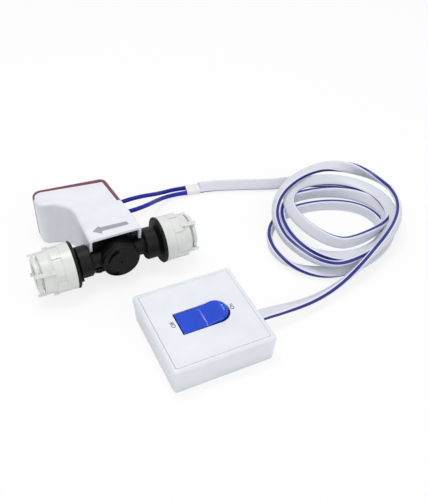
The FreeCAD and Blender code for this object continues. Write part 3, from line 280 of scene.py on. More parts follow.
@dataclass(frozen=True)
class StripedTube:
    """Extruded soft vinyl twin tube: milky walls, with a painted highlight of pale lilac on the narrow
    edges, and a dark line run down the middle of each of them."""

    name: str
    colour: str
    stripe: str
    # the pale lilac painted over the narrow edges as a highlight
    clear: str
    stripe_share: float = 0.46

    def make(self) -> bpy.types.Material:
        """Builds the material, which reads the attribute "off_middle": 0 in the middle of a narrow edge
        and 1 at its rims and on the broad faces.

        Returns:
            The material.
        """
        material = bpy.data.materials.new(self.name)
        material.use_nodes = True
        tree = material.node_tree
        shader = tree.nodes["Principled BSDF"]
        middle = add_node(tree, "Attribute", attribute_name="off_middle").outputs["Fac"]
        along = add_node(tree, "TexCoord").outputs["Object"]
        wander = add_node(tree, "TexNoise", {"Vector": along, "Scale": 45.0, "Detail": 1.0})
        drift = add_node(tree, "MapRange", {"Value": wander.outputs["Fac"], "To Min": -0.08,
                                            "To Max": 0.08})
        edge = add_node(tree, "Math", {0: middle, 1: drift.outputs["Result"]}, operation="ADD").outputs[0]
        mask = add_node(tree, "MapRange", {"Value": edge, "From Min": self.stripe_share,
                                           "From Max": self.stripe_share + 0.12,
                                           "To Min": 1.0, "To Max": 0.0})
        cloud = add_node(tree, "TexNoise", {"Vector": along, "Scale": 160.0, "Detail": 3.0})
        base = linear(self.colour)
        ramp = add_node(tree, "ValToRGB", {"Fac": cloud.outputs["Fac"]})
        ramp.color_ramp.elements[0].color = tuple(c * 0.90 for c in base[:3]) + (1.0,)
        ramp.color_ramp.elements[1].color = base
        # the narrow edges take the pale lilac, a painted highlight
        edge_highlight_share = add_node(tree, "MapRange", {"Value": middle, "From Min": 0.9, "To Min": 1.0, "To Max": 0.0})
        wall = ramp.outputs["Color"]
        for share, colour in ((edge_highlight_share, self.clear), (mask, self.stripe)):
            mix = add_node(tree, "Mix", data_type="RGBA")
            tree.links.new(share.outputs["Result"], mix.inputs["Factor"])
            tree.links.new(wall, mix.inputs["A"])
            mix.inputs["B"].default_value = linear(colour)
            wall = mix.outputs["Result"]
        tree.links.new(wall, shader.inputs["Base Color"])
        shader.inputs["Roughness"].default_value = 0.32
        return material


# bright cool white with a soft sheen, whose edges catch the light
WHITE_CASING = MouldedPlastic("abs_white_satin", "#ebeef5", 0.32)
# near black with a fine grain, which keeps only broad dull highlights
BODY_BLACK = MouldedPlastic("glass_filled_nylon_black", "#09090a", 0.42, Coat.MATT, 0.10, 0.20)
# warmer, waxy white, so that the caps and collets part from the casing
CAP_WHITE = MouldedPlastic("acetal_white", "#e6e8e5", 0.30, Coat.SATIN, 0.05)
# dusky maroon, the one warm colour, as a thin rim behind the casing
MAROON = MouldedPlastic("abs_maroon_satin", "#74324c", 0.34, Coat.SATIN, 0.08)
# deep polished blue that mirrors the window lamp as a thin line at the bend
ROCKER_BLUE = MouldedPlastic("abs_blue_gloss", "#0845d2", 0.10, Coat.POLISHED, 0.05, 0.36)
# dark grey plastic of the inner pieces, a shade lighter than the body
INNER_BLACK = MouldedPlastic("nylon_black", "#2c2c2f", 0.5, Coat.MATT, 0.10)
# flat black rubber without a highlight
SEAL_RUBBER = MouldedPlastic("nitrile_rubber_black", "#1b1b1c", 0.6, Coat.MATT, 0.10)
# softer, slightly greyer rubber whose folds stay readable
BELLOWS_RUBBER = MouldedPlastic("moulded_rubber_black", "#232326", 0.65, Coat.MATT, 0.10)
# dark screws that glint on their edges
STEEL = TurnedSteel("blackened_steel", "#3a3b3e", 0.25)
# bright pins and grab rings
PIN_STEEL = TurnedSteel("ground_steel", "#c4c6ca", 0.22)
# saturated blue with an uneven depth of colour, like thin soft vinyl
BLUE_TUBE = MouldedPlastic("vinyl_tube_blue", "#0a15a0", 0.30, Coat.SATIN, 0.12, 0.30)
# paper white band, whiter than the tape it holds
SLEEVE_WHITE = MouldedPlastic("vinyl_sleeve_white", "#f3f3f4", 0.4, Coat.SATIN, 0.06)
# thin dark printing
LETTER_GREY = MouldedPlastic("print_ink_dark_grey", "#45474d", 0.55, Coat.POLISHED, 0.10)
# pale printing that stays behind the casing's white
ARROW_GREY = MouldedPlastic("print_ink_grey", "#a2a4aa", 0.55, Coat.POLISHED, 0.10)
# milky grey tape whose narrow edges carry a painted highlight of pale lilac, with a crisp indigo line
TWIN_TUBE = StripedTube("vinyl_twin_tube", "#dfe1e9", "#14187a", "#e6e8ff")

NODE_FINISHES = {
    WHITE_CASING: ("actuator_housing", "switch_base", "switch_face", "tube_gland"),
    BODY_BLACK: ("valve_body", "chamber_cap", "bonnet"),
    CAP_WHITE: ("screw_cap_inlet", "screw_cap_outlet", "collet_inlet", "collet_outlet"),
    MAROON: ("back_cover",),
    ROCKER_BLUE: ("rocker",),
    INNER_BLACK: ("main_plunger", "spacer_ring_inlet", "spacer_ring_outlet", "actuator_frame",
                  "actuator_lever", "air_spouts", "bellows_tray"),
    SEAL_RUBBER: ("chamber_seal", "plunger_washer", "plunger_seal", "bonnet_gasket", "pipe_seal_inlet",
                  "pipe_seal_outlet"),
    BELLOWS_RUBBER: ("actuator_bellows_open", "actuator_bellows_close", "switch_bellows_on",
                     "switch_bellows_off"),
    STEEL: ("flange_screws",),
    PIN_STEEL: ("lever_pin", "rocker_pin", "grab_ring_inlet", "grab_ring_outlet"),
    SLEEVE_WHITE: ("tube_sleeve",),
}


@dataclass
class Studio:
    """The floor, the lights and the camera."""

    eye_mm: tuple[float, float, float] = (-161.8, -343.4, 444.9)
    azimuth: float = -26.35
    elevation: float = 42.44
    roll: float = -1.59
    focal_px: float = 702.3
    sensor_mm: float = 36.0
    floor_reach: float = 6.0
    floor_glow: float = 0.8
    # how strongly the white surround lights the object
    surround_light: float = 0.62
    lamp_aim: tuple[float, float, float] = (0.05, -0.02, 0.0)
    # each lamp's name, place in metres, side in metres and power in watts
    lamps: tuple[tuple[str, tuple[float, float, float], float, float], ...] = (
        ("key_lamp", (-0.05, 0.20, 1.38), 0.5, 6.6),
        ("fill_lamp", (0.45, -1.15, 0.95), 1.2, 3.2),
        ("window_lamp", (0.150, 0.475, 0.746), 0.02, 0.04),
    )

    def camera(self) -> None:
        """Places the camera at the photograph's viewpoint: it looks down along its azimuth and
        elevation, rolled a little about its own axis."""
        azimuth, elevation, roll = (math.radians(a) for a in (self.azimuth, self.elevation, self.roll))
        back = Vector((math.sin(azimuth) * math.cos(elevation), -math.cos(azimuth) * math.cos(elevation),
                       math.sin(elevation)))
        level = (-back).cross(Vector((0, 0, 1))).normalized()
        down = (-back).cross(level)
        right = level * math.cos(roll) + down * math.sin(roll)
        up = back.cross(right)
        lens = bpy.data.cameras.new("camera")
        lens.sensor_fit = "VERTICAL"
        lens.sensor_height = self.sensor_mm
        lens.lens = self.focal_px * self.sensor_mm / IMAGE_SIZE[1]
        lens.clip_start = 0.01
        lens.clip_end = 20.0
        camera = bpy.data.objects.new("camera", lens)
        turn = Matrix((right, up, back)).transposed().to_4x4()
        eye = (Vector(self.eye_mm) + Vector(SWITCH_MM)) * MM
        camera.matrix_world = Matrix.Translation(eye) @ turn
        bpy.context.scene.collection.objects.link(camera)
        bpy.context.scene.camera = camera

    def floor(self) -> None:
        """A wide pale floor that reads as white to the camera away from the object's shadow."""
        corners = np.array([[-1, -1, 0], [1, -1, 0], [1, 1, 0], [-1, 1, 0]])
        points = corners * self.floor_reach
        floor = new_mesh("studio_floor", points, [[0, 1, 2, 3]], smooth=False)
        material = bpy.data.materials.new("paper_white")
        material.use_nodes = True
        shader = material.node_tree.nodes["Principled BSDF"]
        shader.inputs["Base Color"].default_value = linear("#fbfbfc")
        shader.inputs["Roughness"].default_value = 0.9
        shader.inputs["Specular IOR Level"].default_value = 0.1
        # the camera sees mostly a lit sheet, so that the shadow is faint
        glow = add_node(material.node_tree, "Emission", {"Color": (1.0, 1.0, 1.0, 1.0), "Strength": 1.0})
        seen = add_node(material.node_tree, "LightPath").outputs["Is Camera Ray"]
        share = add_node(material.node_tree, "Math", {0: seen, 1: self.floor_glow}, operation="MULTIPLY")
        both = add_node(material.node_tree, "MixShader", {0: share.outputs[0], 1: shader.outputs[0],
                                                          2: glow.outputs[0]})
        output = material.node_tree.nodes["Material Output"]
        material.node_tree.links.new(both.outputs[0], output.inputs["Surface"])
        floor.data.materials.append(material)

    def world(self) -> None:
        """A soft white surround: white to the camera and in reflections, gentler as light."""
        world = bpy.data.worlds.new("surround")
        world.use_nodes = True
        tree = world.node_tree
        path = add_node(tree, "LightPath")
        seen = add_node(tree, "Math", {0: path.outputs["Is Camera Ray"], 1: path.outputs["Is Glossy Ray"]},
                        operation="MAXIMUM")
        strength = add_node(tree, "MapRange", {"Value": seen.outputs[0], "To Min": self.surround_light,
                                               "To Max": 1.0})
        tree.links.new(strength.outputs["Result"], tree.nodes["Background"].inputs["Strength"])
        tree.nodes["Background"].inputs["Color"].default_value = (1.0, 1.0, 1.0, 1.0)
        bpy.context.scene.world = world

    def lamp(self, name: str, place: tuple[float, float, float], size: float, watts: float) -> None:
        """An area lamp that faces the middle of the valve and the switch box.

        Args:
            name: the lamp's name.
            place: where it stands, in metres.
            size: its side, in metres.
            watts: its power.
        """
        light = bpy.data.lights.new(name, "AREA")
        light.size = size
        light.energy = watts
        lamp = bpy.data.objects.new(name, light)
        lamp.location = place
        ahead = Vector(self.lamp_aim) - Vector(place)
        lamp.rotation_euler = ahead.to_track_quat("-Z", "Y").to_euler()
        bpy.context.scene.collection.objects.link(lamp)

    def build(self) -> None:
        """Makes the whole studio."""
        bpy.context.scene.view_settings.view_transform = "Standard"
        self.camera()
        self.floor()
        self.world()
        for name, place, size, watts in self.lamps:
            self.lamp(name, place, size, watts)
        log.info("studio: camera, floor and %d lamps", len(self.lamps))


@dataclass
class AirTubing:
    """The two blue air tubes, and the flat twin tube that runs from their sleeve to the switch box."""

    tube_radius: float = 2.1 * MM
    twin_width: float = 11.0 * MM
    twin_thickness: float = 5.5 * MM
    tube_flare: float = 0.08
    # points round each section, and the powers that make the tape's section a round-cornered box
    tube_points: int = 24
    tape_points: int = 48
    tape_powers: tuple[float, float] = (0.45, 0.55)
    # half the distance between the two blue tubes in the sleeve
    tube_spread: float = 4.1
    # where in its first quarter turn the coil begins, in degrees, and the points in a quarter turn
    first_turn: float = 22.0
    steps: int = 4
    # how often the tilt is averaged with its neighbours
    smoothings: int = 12
    # how far before the coil, and after it, the tape already runs straight towards it
    leads: tuple[float, float] = (18.0, 6.0)
    # the tape's tilt at the route's points before and after the coil, in degrees
    run_in_tilts: tuple[float, ...] = (34.0, 42.0, 44.0, 43.0, 42.0, 40.0, 40.0, 40.0)
    out_tilts: tuple[float, ...] = (490.0, 478.0, 470.0, 468.0, 463.0, 450.0, 438.0, 425.0, 408.0, 394.0,
                                    382.0, 368.0, 361.0)
    sleeve_start: tuple[float, float, float] = (102.2, 82.3, 3.4)
    sleeve_heading: tuple[float, float] = (0.98311, -0.18302)
    sleeve_length: float = 13.6
    spout_straight: float = 6.5
    sleeve_straight: float = 8.0
    routes: dict[str, list[tuple[float, float, float]]] = field(default_factory=lambda: {
        "air_tube_close": [(37.1, 67.0, 23.8), (52.0, 72.4, 19.0), (65.5, 78.5, 12.4), (77.8, 85.1, 6.3),
                           (87.1, 87.5, 4.3)],
        "air_tube_open": [(37.3, 50.5, 23.4), (52.2, 57.3, 19.4), (63.9, 69.1, 11.4), (75.7, 76.7, 6.5),
                          (84.5, 79.3, 4.3)],
    })
    # the route's control points in mm, from the sleeve to the coil and from the coil to the switch box
    run_in: tuple[tuple[float, float, float], ...] = (
        (125.8, 77.9, 3.4), (140.0, 73.2, 4.6), (156.0, 66.8, 5.2), (173.0, 59.6, 5.4), (190.0, 52.6, 5.4))
    run_out: tuple[tuple[float, float, float], ...] = (
        (272.0, -41.6, 24.6), (260.8, -58.4, 25.0), (246.0, -71.8, 24.4), (230.4, -80.8, 22.6),
        (214.6, -87.2, 19.8), (197.2, -93.4, 14.4), (175.0, -100.2, 9.4), (152.2, -105.6, 8.0),
        (129.2, -109.6, 10.0), (106.2, -110.6, 13.0), (89.2, -110.1, 14.6), (80.2, -110.1, 14.6))
    # the coil's extreme points, clockwise from above: place in plan, height, and the tape's tilt
    extremes: tuple[tuple[str, tuple[float, float], float, float], ...] = (
        ("back", (187.0, 48.4), 5.4, 40.0),
        ("right", (273.5, -16.6), 5.2, -35.0),
        ("front", (190.0, -85.6), 5.0, -30.0),
        ("left", (138.4, -38.6), 5.0, 82.0),
        ("back", (188.0, 7.8), 5.0, 88.0),
        ("right", (254.2, -34.6), 5.6, 85.0),
        ("front", (205.0, -77.4), 10.2, -15.0),
        ("left", (160.0, -32.8), 11.8, 70.0),
        ("back", (195.0, 18.6), 12.4, 90.0),
        ("right", (262.8, -32.6), 12.4, 45.0),
        ("front", (200.0, -68.4), 19.4, 102.0),
        ("left", (173.4, -13.6), 19.0, 140.0),
        ("back", (209.0, 27.8), 19.4, 218.0),
        ("right", (267.4, -28.4), 18.5, 197.0),
        ("front", (184.0, -86.0), 14.2, 228.0),
        ("left", (148.0, -35.4), 19.6, 258.0),
        ("back", (227.0, 36.0), 26.6, 352.0),
        ("right", (278.2, -20.6), 24.6, 495.0),
    )

    def coil(self) -> tuple[list[tuple[float, float, float]], list[float]]:
        """Points round the coil: each quarter turn is a quarter of an ellipse between two extreme
        points, and its height and the tape's tilt go over in a smooth step.

        Returns:
            The points in mm, and the tilt in degrees at each.
        """
        points = []
        tilts = []
        for index in range(len(self.extremes) - 1):
            name, (x0, y0), z0, tilt0 = self.extremes[index]
            _, (x1, y1), z1, tilt1 = self.extremes[index + 1]
            begin = math.radians(self.first_turn) if index == 0 else 0.0
            for step in range(self.steps):
                angle = begin + (math.pi / 2 - begin) * step / self.steps
                rise = (1 - math.cos(2 * angle)) / 2
                if name in ("back", "front"):
                    x, y = x0 + (x1 - x0) * math.sin(angle), y1 + (y0 - y1) * math.cos(angle)
                else:
                    x, y = x1 + (x0 - x1) * math.cos(angle), y0 + (y1 - y0) * math.sin(angle)
                points.append((x, y, z0 + (z1 - z0) * rise))
                tilts.append(tilt0 + (tilt1 - tilt0) * rise)
        _, (x, y), z, tilt = self.extremes[-1]
        return points + [(x, y, z)], tilts + [tilt]

    def line_through(self, name: str, points: np.ndarray) -> np.ndarray:
        """Reads the points of the smooth NURBS line that a route's control points give.

        Args:
            name: the route's name.
            points: the control points in metres.

        Returns:
            One row per point of the line, in metres.
        """
        data = bpy.data.curves.new(name, "CURVE")
        data.dimensions = "3D"
        data.resolution_u = 8
        spline = data.splines.new("NURBS")
        spline.points.add(len(points) - 1)
        spline.points.foreach_set("co", np.c_[points, np.ones(len(points))].ravel())
        spline.order_u = 3
        spline.use_endpoint_u = True
        bare = bpy.data.objects.new(name, data)
        bpy.context.scene.collection.objects.link(bare)
        mesh = bpy.data.meshes.new_from_object(bare)
        line = np.empty(len(mesh.vertices) * 3)
        mesh.vertices.foreach_get("co", line)
        bpy.data.meshes.remove(mesh)
        bpy.data.objects.remove(bare)
        return line.reshape(-1, 3)

    @staticmethod
    def carried(line: np.ndarray, tilt: np.ndarray, across: np.ndarray, through: np.ndarray,
                swell: np.ndarray) -> np.ndarray:
        """Carries a closed section along a line. At each point the section's across axis starts level,
        to the left of the way ahead, and is turned about the line by the tilt, so that 90 degrees
        stands it on edge; its through axis is square to both.

        Args:
            line: the points of the line, in metres.
            tilt: the turn at each point, in radians.
            across: the section's points along its first axis, in metres.
            through: the same along its second axis.
            swell: the section's scale at each point.

        Returns:
            The rings' points, rings by points by three.
        """
        ahead = np.gradient(line, axis=0)
        ahead /= np.linalg.norm(ahead, axis=1)[:, None]
        level = np.stack([-ahead[:, 1], ahead[:, 0], np.zeros(len(line))], axis=1)
        level /= np.linalg.norm(level, axis=1)[:, None]
        rise = np.cross(ahead, level)
        wide = level * np.cos(tilt)[:, None] + rise * np.sin(tilt)[:, None]
        thick = np.cross(ahead, wide)
        return (line[:, None, :] + (wide * swell[:, None])[:, None, :] * across[None, :, None]
                + (thick * swell[:, None])[:, None, :] * through[None, :, None])

    @staticmethod
    def around(count: int) -> np.ndarray:
        """The angles of evenly spaced points round a section, in radians."""
        return np.arange(count) * 2 * np.pi / count

    @staticmethod
    def length_of(line: np.ndarray) -> float:
        """The length of a line of points."""
        return float(np.linalg.norm(np.diff(line, axis=0), axis=1).sum())

    def air_tube(self, node: str, spout: tuple[float, float, float], side: int) -> None:
        """One blue tube from its spout to the sleeve. Its section is a circle, which flares a little
        where the tube is pushed into the sleeve.

        Args:
            node: the CAD node that it replaces.
            spout: where it leaves the cover, in mm.
            side: 1 or -1, its side of the sleeve.
        """
        dx, dy = self.sleeve_heading
        x, y, z = self.sleeve_start
        end = (x - dy * self.tube_spread * side, y + dx * self.tube_spread * side, z)
        out = (spout[0] + self.spout_straight, spout[1], spout[2])
        before_end = (end[0] - dx * self.sleeve_straight, end[1] - dy * self.sleeve_straight, z)
        line = self.line_through(node + "_line", from_valve(spout, out, *self.routes[node], before_end, end))
        angle = self.around(self.tube_points)
        left = np.linalg.norm(line[-1] - line, axis=1) / MM
        swell = 1 + self.tube_flare * (1 - smooth_step(left, 0.5, 7.0))
        rings = self.carried(line, np.zeros(len(line)), self.tube_radius * np.cos(angle),
                             self.tube_radius * np.sin(angle), swell)
        tube = capped_tube(node + "_tube", rings)
        tube.data.materials.append(BLUE_TUBE.make())
        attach(tube, "base")
        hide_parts(node)

    def twin_tube(self) -> None:
        """The flat twin tube. Its section is a flat box with round corners: the width and thickness
        follow the cosine and sine of an angle raised to powers under one. It is carried along the
        NURBS line and turned about it by the tilt."""
        dx, dy = self.sleeve_heading
        x, y, z = self.sleeve_start
        start = (x + dx * self.sleeve_length, y + dy * self.sleeve_length, z)
        coil, coil_tilts = self.coil()
        first = np.array(coil[1]) - np.array(coil[0])
        first = first / np.linalg.norm(first)
        lead = [tuple(np.array(coil[0]) - first * distance) for distance in self.leads]
        last = np.array(self.run_out[0]) - np.array(coil[-1])
        tail = tuple(np.array(coil[-1]) + last / np.linalg.norm(last) * self.leads[1])
        controls = [start, *self.run_in, *lead, *coil, tail, *self.run_out]
        line = self.line_through("twin_tube_line", from_valve(*controls))
        tilts = [*self.run_in_tilts, *coil_tilts, *self.out_tilts]
        knots = np.linspace(0.0, 1.0, len(controls))
        tilt = np.radians(np.interp(np.linspace(0.0, 1.0, len(line)), knots, tilts))
        for _ in range(self.smoothings):
            tilt[1:-1] = (tilt[:-2] + 2 * tilt[1:-1] + tilt[2:]) / 4
        angle = self.around(self.tape_points)
        across = np.sign(np.cos(angle)) * np.abs(np.cos(angle)) ** self.tape_powers[0]
        through = np.sign(np.sin(angle)) * np.abs(np.sin(angle)) ** self.tape_powers[1]
        rings = self.carried(line, tilt, across * self.twin_width / 2, through * self.twin_thickness / 2,
                             np.ones(len(line)))
        # where it stands on edge, its lower edge rests on the floor
        rings[:, :, 2] += np.maximum(0.0, -rings[:, :, 2].min(axis=1))[:, None]
        tape = capped_tube("twin_tube", rings)
        off_middle = np.where(np.abs(across) > 0.8, np.abs(through), 1.0)
        shade = tape.data.attributes.new("off_middle", "FLOAT", "POINT")
        shade.data.foreach_set("value", np.concatenate([np.tile(off_middle, len(line)), [1.0, 1.0]]))
        tape.data.materials.append(TWIN_TUBE.make())
        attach(tape, "base")
        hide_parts("twin_tube_valve_end", "twin_tube_coil", "twin_tube_switch_end")

    def build(self) -> None:
        """Makes the three tubes."""
        self.air_tube("air_tube_close", (19.65, 65.0, 24.5), 1)
        self.air_tube("air_tube_open", (21.2, 49.0, 24.5), -1)
        self.twin_tube()


@dataclass
class SwitchBox:
    """The switch box's shell, its face plate, and the rocker that stands in the plate's opening. All are
    set out from the middle of the box, in mm."""

    base_half: float = 44.5
    base_floor: float = 2.4
    fixing_reach: float = 30.15
    fixing_radius: float = 2.25
    fixing_depth: float = 20.0
    gland_middle: tuple[float, float, float] = (44.5, -9.5, 14.6)
    gland_slot: tuple[float, float, float] = (10.0, 13.2, 7.8)
    plate_half: float = 40.15
    plate_thick: float = 2.6
    plate_corner: float = 1.2
    edge_round: float = 0.45
    rocker_left: float = -20.9
    rocker_middle: float = 10.5
    rocker_half: float = 11.0
    side_gap: float = 0.9
    end_gap: float = 0.7
    left_gap: float = 1.0
    crown: tuple[tuple[float, float], ...] = ((-21.4, -0.35), (-1.5, -0.05), (1.0, 0.2), (9.0, 2.0),
                                              (16.0, 3.3), (22.4, 4.2))
    # the radius of the crown's edge at the sides, what it gains by the round end, and where it grows
    side_bend: float = 0.6
    bend_gain: float = 1.9
    bend_run: tuple[float, float] = (10.0, 21.0)
    ring_shares: tuple[float, ...] = (0.0, 0.006, 0.015, 0.03, 0.05, 0.075, 0.1, 0.14, 0.18, 0.24, 0.35,
                                      0.5, 0.65, 0.8, 1.0)
    underside: tuple[tuple[float, float], ...] = ((-21.4, -5.2), (-3.6, -4.2), (3.6, -4.0), (20.0, -2.4),
                                                  (22.4, -1.6))

    def place(self, points: np.ndarray) -> np.ndarray:
        """Moves points from the middle of the box to the CAD frame, in metres."""
        return (points + np.array(SWITCH_MM)) * MM

    @staticmethod
    def rounded(x0: float, x1: float, half: float, radii: tuple[float, float], inset: float) -> np.ndarray:
        """The outline of a rectangle with a quarter circle at each corner, anticlockwise from above.

        Args:
            x0: its left end.
            x1: its right end.
            half: half its width.
            radii: the corners' radius at the left end and at the right end.
            inset: how far inside the outline the points lie.

        Returns:
            The points, one row each.
        """
        left, right = radii
        centres = np.array([(x0 + left, left - half), (x1 - right, right - half),
                            (x1 - right, half - right), (x0 + left, half - left)])
        reach = np.array([left, right, right, left]) - inset
        angle = np.radians(np.add.outer((180.0, 270.0, 0.0, 90.0), np.linspace(0.0, 90.0, 24)))
        around = np.stack([np.cos(angle), np.sin(angle)], axis=-1)
        return (centres[:, None, :] + reach[:, None, None] * around).reshape(-1, 2)

    @staticmethod
    def lifted(rings: list[tuple[np.ndarray, float]]) -> np.ndarray:
        """Sets each outline at its height.

        Args:
            rings: the points of each outline in plan, with its height.

        Returns:
            The rings' points, rings by points by three.
        """
        return np.array([np.c_[ring, np.full(len(ring), height)] for ring, height in rings])

    @staticmethod
    def cut(piece: bpy.types.Object, tool: bmesh.types.BMesh) -> None:
        """Takes a tool's space out of a piece, and drops the tool.

        Args:
            piece: the piece, whose mesh is changed.
            tool: the closed mesh to take away, in metres.
        """
        mesh = bpy.data.meshes.new("tool")
        tool.to_mesh(mesh)
        tool.free()
        solid = bpy.data.objects.new("tool", mesh)
        bpy.context.scene.collection.objects.link(solid)
        rule = piece.modifiers.new("cut", "BOOLEAN")
        rule.operation = "DIFFERENCE"
        rule.object = solid
        rule.solver = "EXACT"
        result = bpy.data.meshes.new_from_object(piece.evaluated_get(bpy.context.evaluated_depsgraph_get()))
        piece.modifiers.clear()
        piece.data = result
        bpy.data.objects.remove(solid)
        bpy.data.meshes.remove(mesh)

    def base(self) -> None:
        """The box: rings from the middle of its back out to the foot, up the wall, which leans out to
        its widest just under the rim, over the rim in a quarter ellipse, and down inside to the middle
        of the floor. Two fixing holes and the slot for the tube's gland are cut through it."""
        turn = np.radians(np.linspace(0.0, 90.0, 7))
        wide, high = self.base_half, FACE_MM
        # each ring's half width, height and corner radius
        profile = [(0.4, 0.0, 0.1), (30.0, 0.0, 2.0), (42.3, 0.0, 2.4), (42.8, 0.25, 2.8), (43.0, 0.8, 3.0),
                   (wide - 0.2, high - 5.2, 3.4)]
        profile += [(wide - 3.3 * (1 - math.cos(a)), high - 3.4 + 3.35 * math.sin(a),
                     3.4 - 1.6 * a / turn[-1]) for a in turn]
        profile += [(40.75, high - 0.02, 1.6), (40.45, high - 0.25, 1.4), (40.3, high - 0.6, 1.3),
                    (40.3, self.base_floor, 1.3), (40.0, self.base_floor, 1.2), (0.4, self.base_floor, 0.1)]
        rings = [(self.rounded(-half, half, half, (corner, corner), 0.0), z) for half, z, corner in profile]
        piece = capped_tube("switch_box", self.place(self.lifted(rings)))
        for side in (-1, 1):
            tool = bmesh.new()
            centre = self.place(np.array([0.0, side * self.fixing_reach, 0.0]))
            radius = self.fixing_radius * MM
            bmesh.ops.create_cone(tool, cap_ends=True, segments=32, radius1=radius, radius2=radius,
                                  depth=self.fixing_depth * MM,
                                  matrix=Matrix.Translation(Vector(centre)))
            self.cut(piece, tool)
        tool = bmesh.new()
        centre = Vector(self.place(np.array(self.gland_middle)))
        shape = Matrix.Diagonal((*self.gland_slot, 1.0))
        bmesh.ops.create_cube(tool, size=MM, matrix=Matrix.Translation(centre) @ shape)
        self.cut(piece, tool)
        piece.data.materials.clear()
        piece.data.materials.append(WHITE_CASING.make())
        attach(piece, "base")
        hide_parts("switch_base")

    def plate(self) -> None:
        """The face plate: rings from its outer outline over the top to the rocker's opening and back
        below, with both upper edges rounded by a quarter circle."""
        top, low, soft = FACE_MM, FACE_MM - self.plate_thick, self.edge_round
        turn = np.radians(np.linspace(0.0, 90.0, 5))
        steps = [(0.0, low), *zip(soft * (1 - np.cos(turn)), top - soft * (1 - np.sin(turn))),
                 (soft * 1.3, top)]
        half = self.plate_half
        gap = self.rocker_half + self.side_gap
        hole = (self.rocker_left - self.left_gap, self.rocker_middle + gap + self.end_gap, gap)
        rings = [(self.rounded(-half, half, half, (self.plate_corner, self.plate_corner), inset), z)
                 for inset, z in steps]
        rings += [(self.rounded(*hole, (0.6, gap), -inset), z) for inset, z in reversed(steps)]
        points = self.lifted(rings)
        rows, count = points.shape[:2]
        piece = new_mesh("face_plate", self.place(points.reshape(-1, 3)),
                         grid_quads(rows, count, looped=True).tolist())
        piece.data.materials.append(WHITE_CASING.make())
        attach(piece, "base")
        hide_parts("switch_face")

    def crown_height(self, plan: np.ndarray) -> np.ndarray:
        """The rocker's upper surface: the crown's height at x, less the drop of a quarter circle near
        the edge. The circle's radius grows from the sides to the round end.

        Args:
            plan: the places in plan, one row each.

        Returns:
            The height at each place.
        """
        x = plan[:, 0]
        radius = self.side_bend + self.bend_gain * smooth_step(x, *self.bend_run)
        room = np.where(x > self.rocker_middle,
                        self.rocker_half - np.hypot(x - self.rocker_middle, plan[:, 1]),
                        np.minimum(self.rocker_half - np.abs(plan[:, 1]), x - self.rocker_left))
        short = radius - np.clip(room, 0.0, radius)
        drop = radius - np.sqrt(radius ** 2 - short ** 2)
        return np.interp(x, *np.array(self.crown).T) - drop + FACE_MM

    def rocker(self) -> None:
        """The rocker: its outline has a square end and a half-round end. Rings run out from the middle line
        to the outline on the underside, and back in over the crown."""
        left, middle, half = self.rocker_left, self.rocker_middle, self.rocker_half
        turn = np.radians(np.linspace(-90.0, 90.0, 49)[1:-1])
        along = np.linspace(left, middle, 41)
        end = np.linspace(half, -half, 17)[:-1]
        outline = np.vstack([np.c_[np.full(len(end), left), end], np.c_[along, np.full(len(along), -half)],
                             np.c_[middle + half * np.cos(turn), half * np.sin(turn)],
                             np.c_[along[:0:-1], np.full(len(along) - 1, half)]])
        spine = np.c_[np.clip(outline[:, 0], left + half, middle), np.zeros(len(outline))]

        under = [outline + (spine - outline) * share for share in (1.0, 0.5, 0.0)]
        over = [outline + (spine - outline) * share for share in self.ring_shares]
        rings = np.array([np.c_[plan, np.interp(plan[:, 0], *np.array(self.underside).T) + FACE_MM]
                          for plan in under] + [np.c_[plan, self.crown_height(plan)] for plan in over])
        rows, count = rings.shape[:2]
        piece = new_mesh("rocker_cap", self.place(rings.reshape(-1, 3)), grid_quads(rows, count).tolist())
        shell = bmesh.new()
        shell.from_mesh(piece.data)
        bmesh.ops.remove_doubles(shell, verts=shell.verts, dist=0.00001)
        shell.to_mesh(piece.data)
        shell.free()
        piece.data.materials.append(ROCKER_BLUE.make())
        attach(piece, "rocker")
        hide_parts("rocker")

    def build(self) -> None:
        """Makes the box, the plate and the rocker."""
        self.base()
        self.plate()
        self.rocker()
        log.info("switch: box, face plate and rocker")


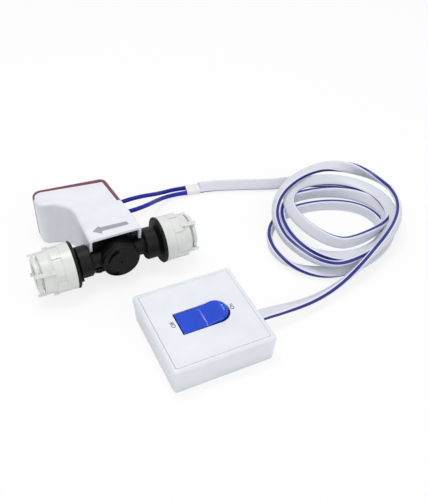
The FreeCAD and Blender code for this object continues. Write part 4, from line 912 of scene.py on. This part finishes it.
@dataclass
class Casings:
    """The finishes of the CAD nodes, and the printed marks on the casing and the switch box."""

    casing_top_mm: float = 49.0
    letter_mm: float = 4.8
    stroke_mm: float = 0.05
    ink_mm: float = 0.03
    print_mm: float = 0.04
    arrow_mm: float = 0.06

    def dress(self) -> None:
        """Gives every CAD node the finish that its piece has."""
        for finish, nodes in NODE_FINISHES.items():
            material = finish.make()
            for node in nodes:
                piece = bpy.data.objects[node]
                for place in piece.material_slots:
                    place.material = material
            log.info("%s: %d nodes", finish.name, len(nodes))

    def word(self, name: str, text: str, x: float, y: float) -> None:
        """A printed word on the switch's face, reading towards +Y.

        Args:
            name: the piece's name.
            text: the word.
            x: its middle from the switch's centre, in mm.
            y: the same, along Y.
        """
        data = bpy.data.curves.new(name, "FONT")
        data.body = text
        data.size = self.letter_mm * MM
        data.align_x = "CENTER"
        data.align_y = "CENTER"
        data.extrude = self.ink_mm * MM
        data.offset = self.stroke_mm * MM
        source = bpy.data.objects.new(name + "_source", data)
        bpy.context.scene.collection.objects.link(source)
        mesh = bpy.data.meshes.new_from_object(source)
        bpy.data.objects.remove(source)
        middle = Vector(SWITCH_MM) + Vector((x, y, FACE_MM + self.print_mm))
        move = Matrix.Translation(middle * MM)
        mesh.transform(move @ Matrix.Rotation(math.pi / 2, 4, "Z"))
        piece = bpy.data.objects.new(name, mesh)
        bpy.context.scene.collection.objects.link(piece)
        mesh.materials.append(LETTER_GREY.make())
        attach(piece, "base")

    def flow_arrow(self) -> None:
        """The flat arrow printed on the casing's top, along the pipe towards the outlet."""
        outline = [(13.7, 8.5), (-9.5, 9.9), (-11.0, 12.1), (-17.6, 7.1), (-11.0, 1.5), (-9.6, 4.6),
                   (14.4, 4.1)]
        top = from_valve(*[(x, y, self.casing_top_mm + self.arrow_mm) for x, y in outline])
        piece = new_mesh("flow_arrow", top, [[1, 2, 3, 4, 5], [0, 1, 5, 6]], smooth=False)
        piece.data.materials.append(ARROW_GREY.make())
        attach(piece, "base")

    def build(self) -> None:
        """Dresses the CAD nodes and adds the printed marks."""
        self.dress()
        self.word("word_off", "Off", -25.4, 1.0)
        self.word("word_on", "On", 25.8, 0.0)
        self.flow_arrow()
        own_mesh(bpy.data.objects["switch_bellows_on"])


def main() -> None:
    """Builds the studio, the tubing, the switch box and the finishes."""
    Studio().build()
    AirTubing().build()
    SwitchBox().build()
    Casings().build()
    bpy.context.view_layer.update()


if __name__ == "__main__":
    main()
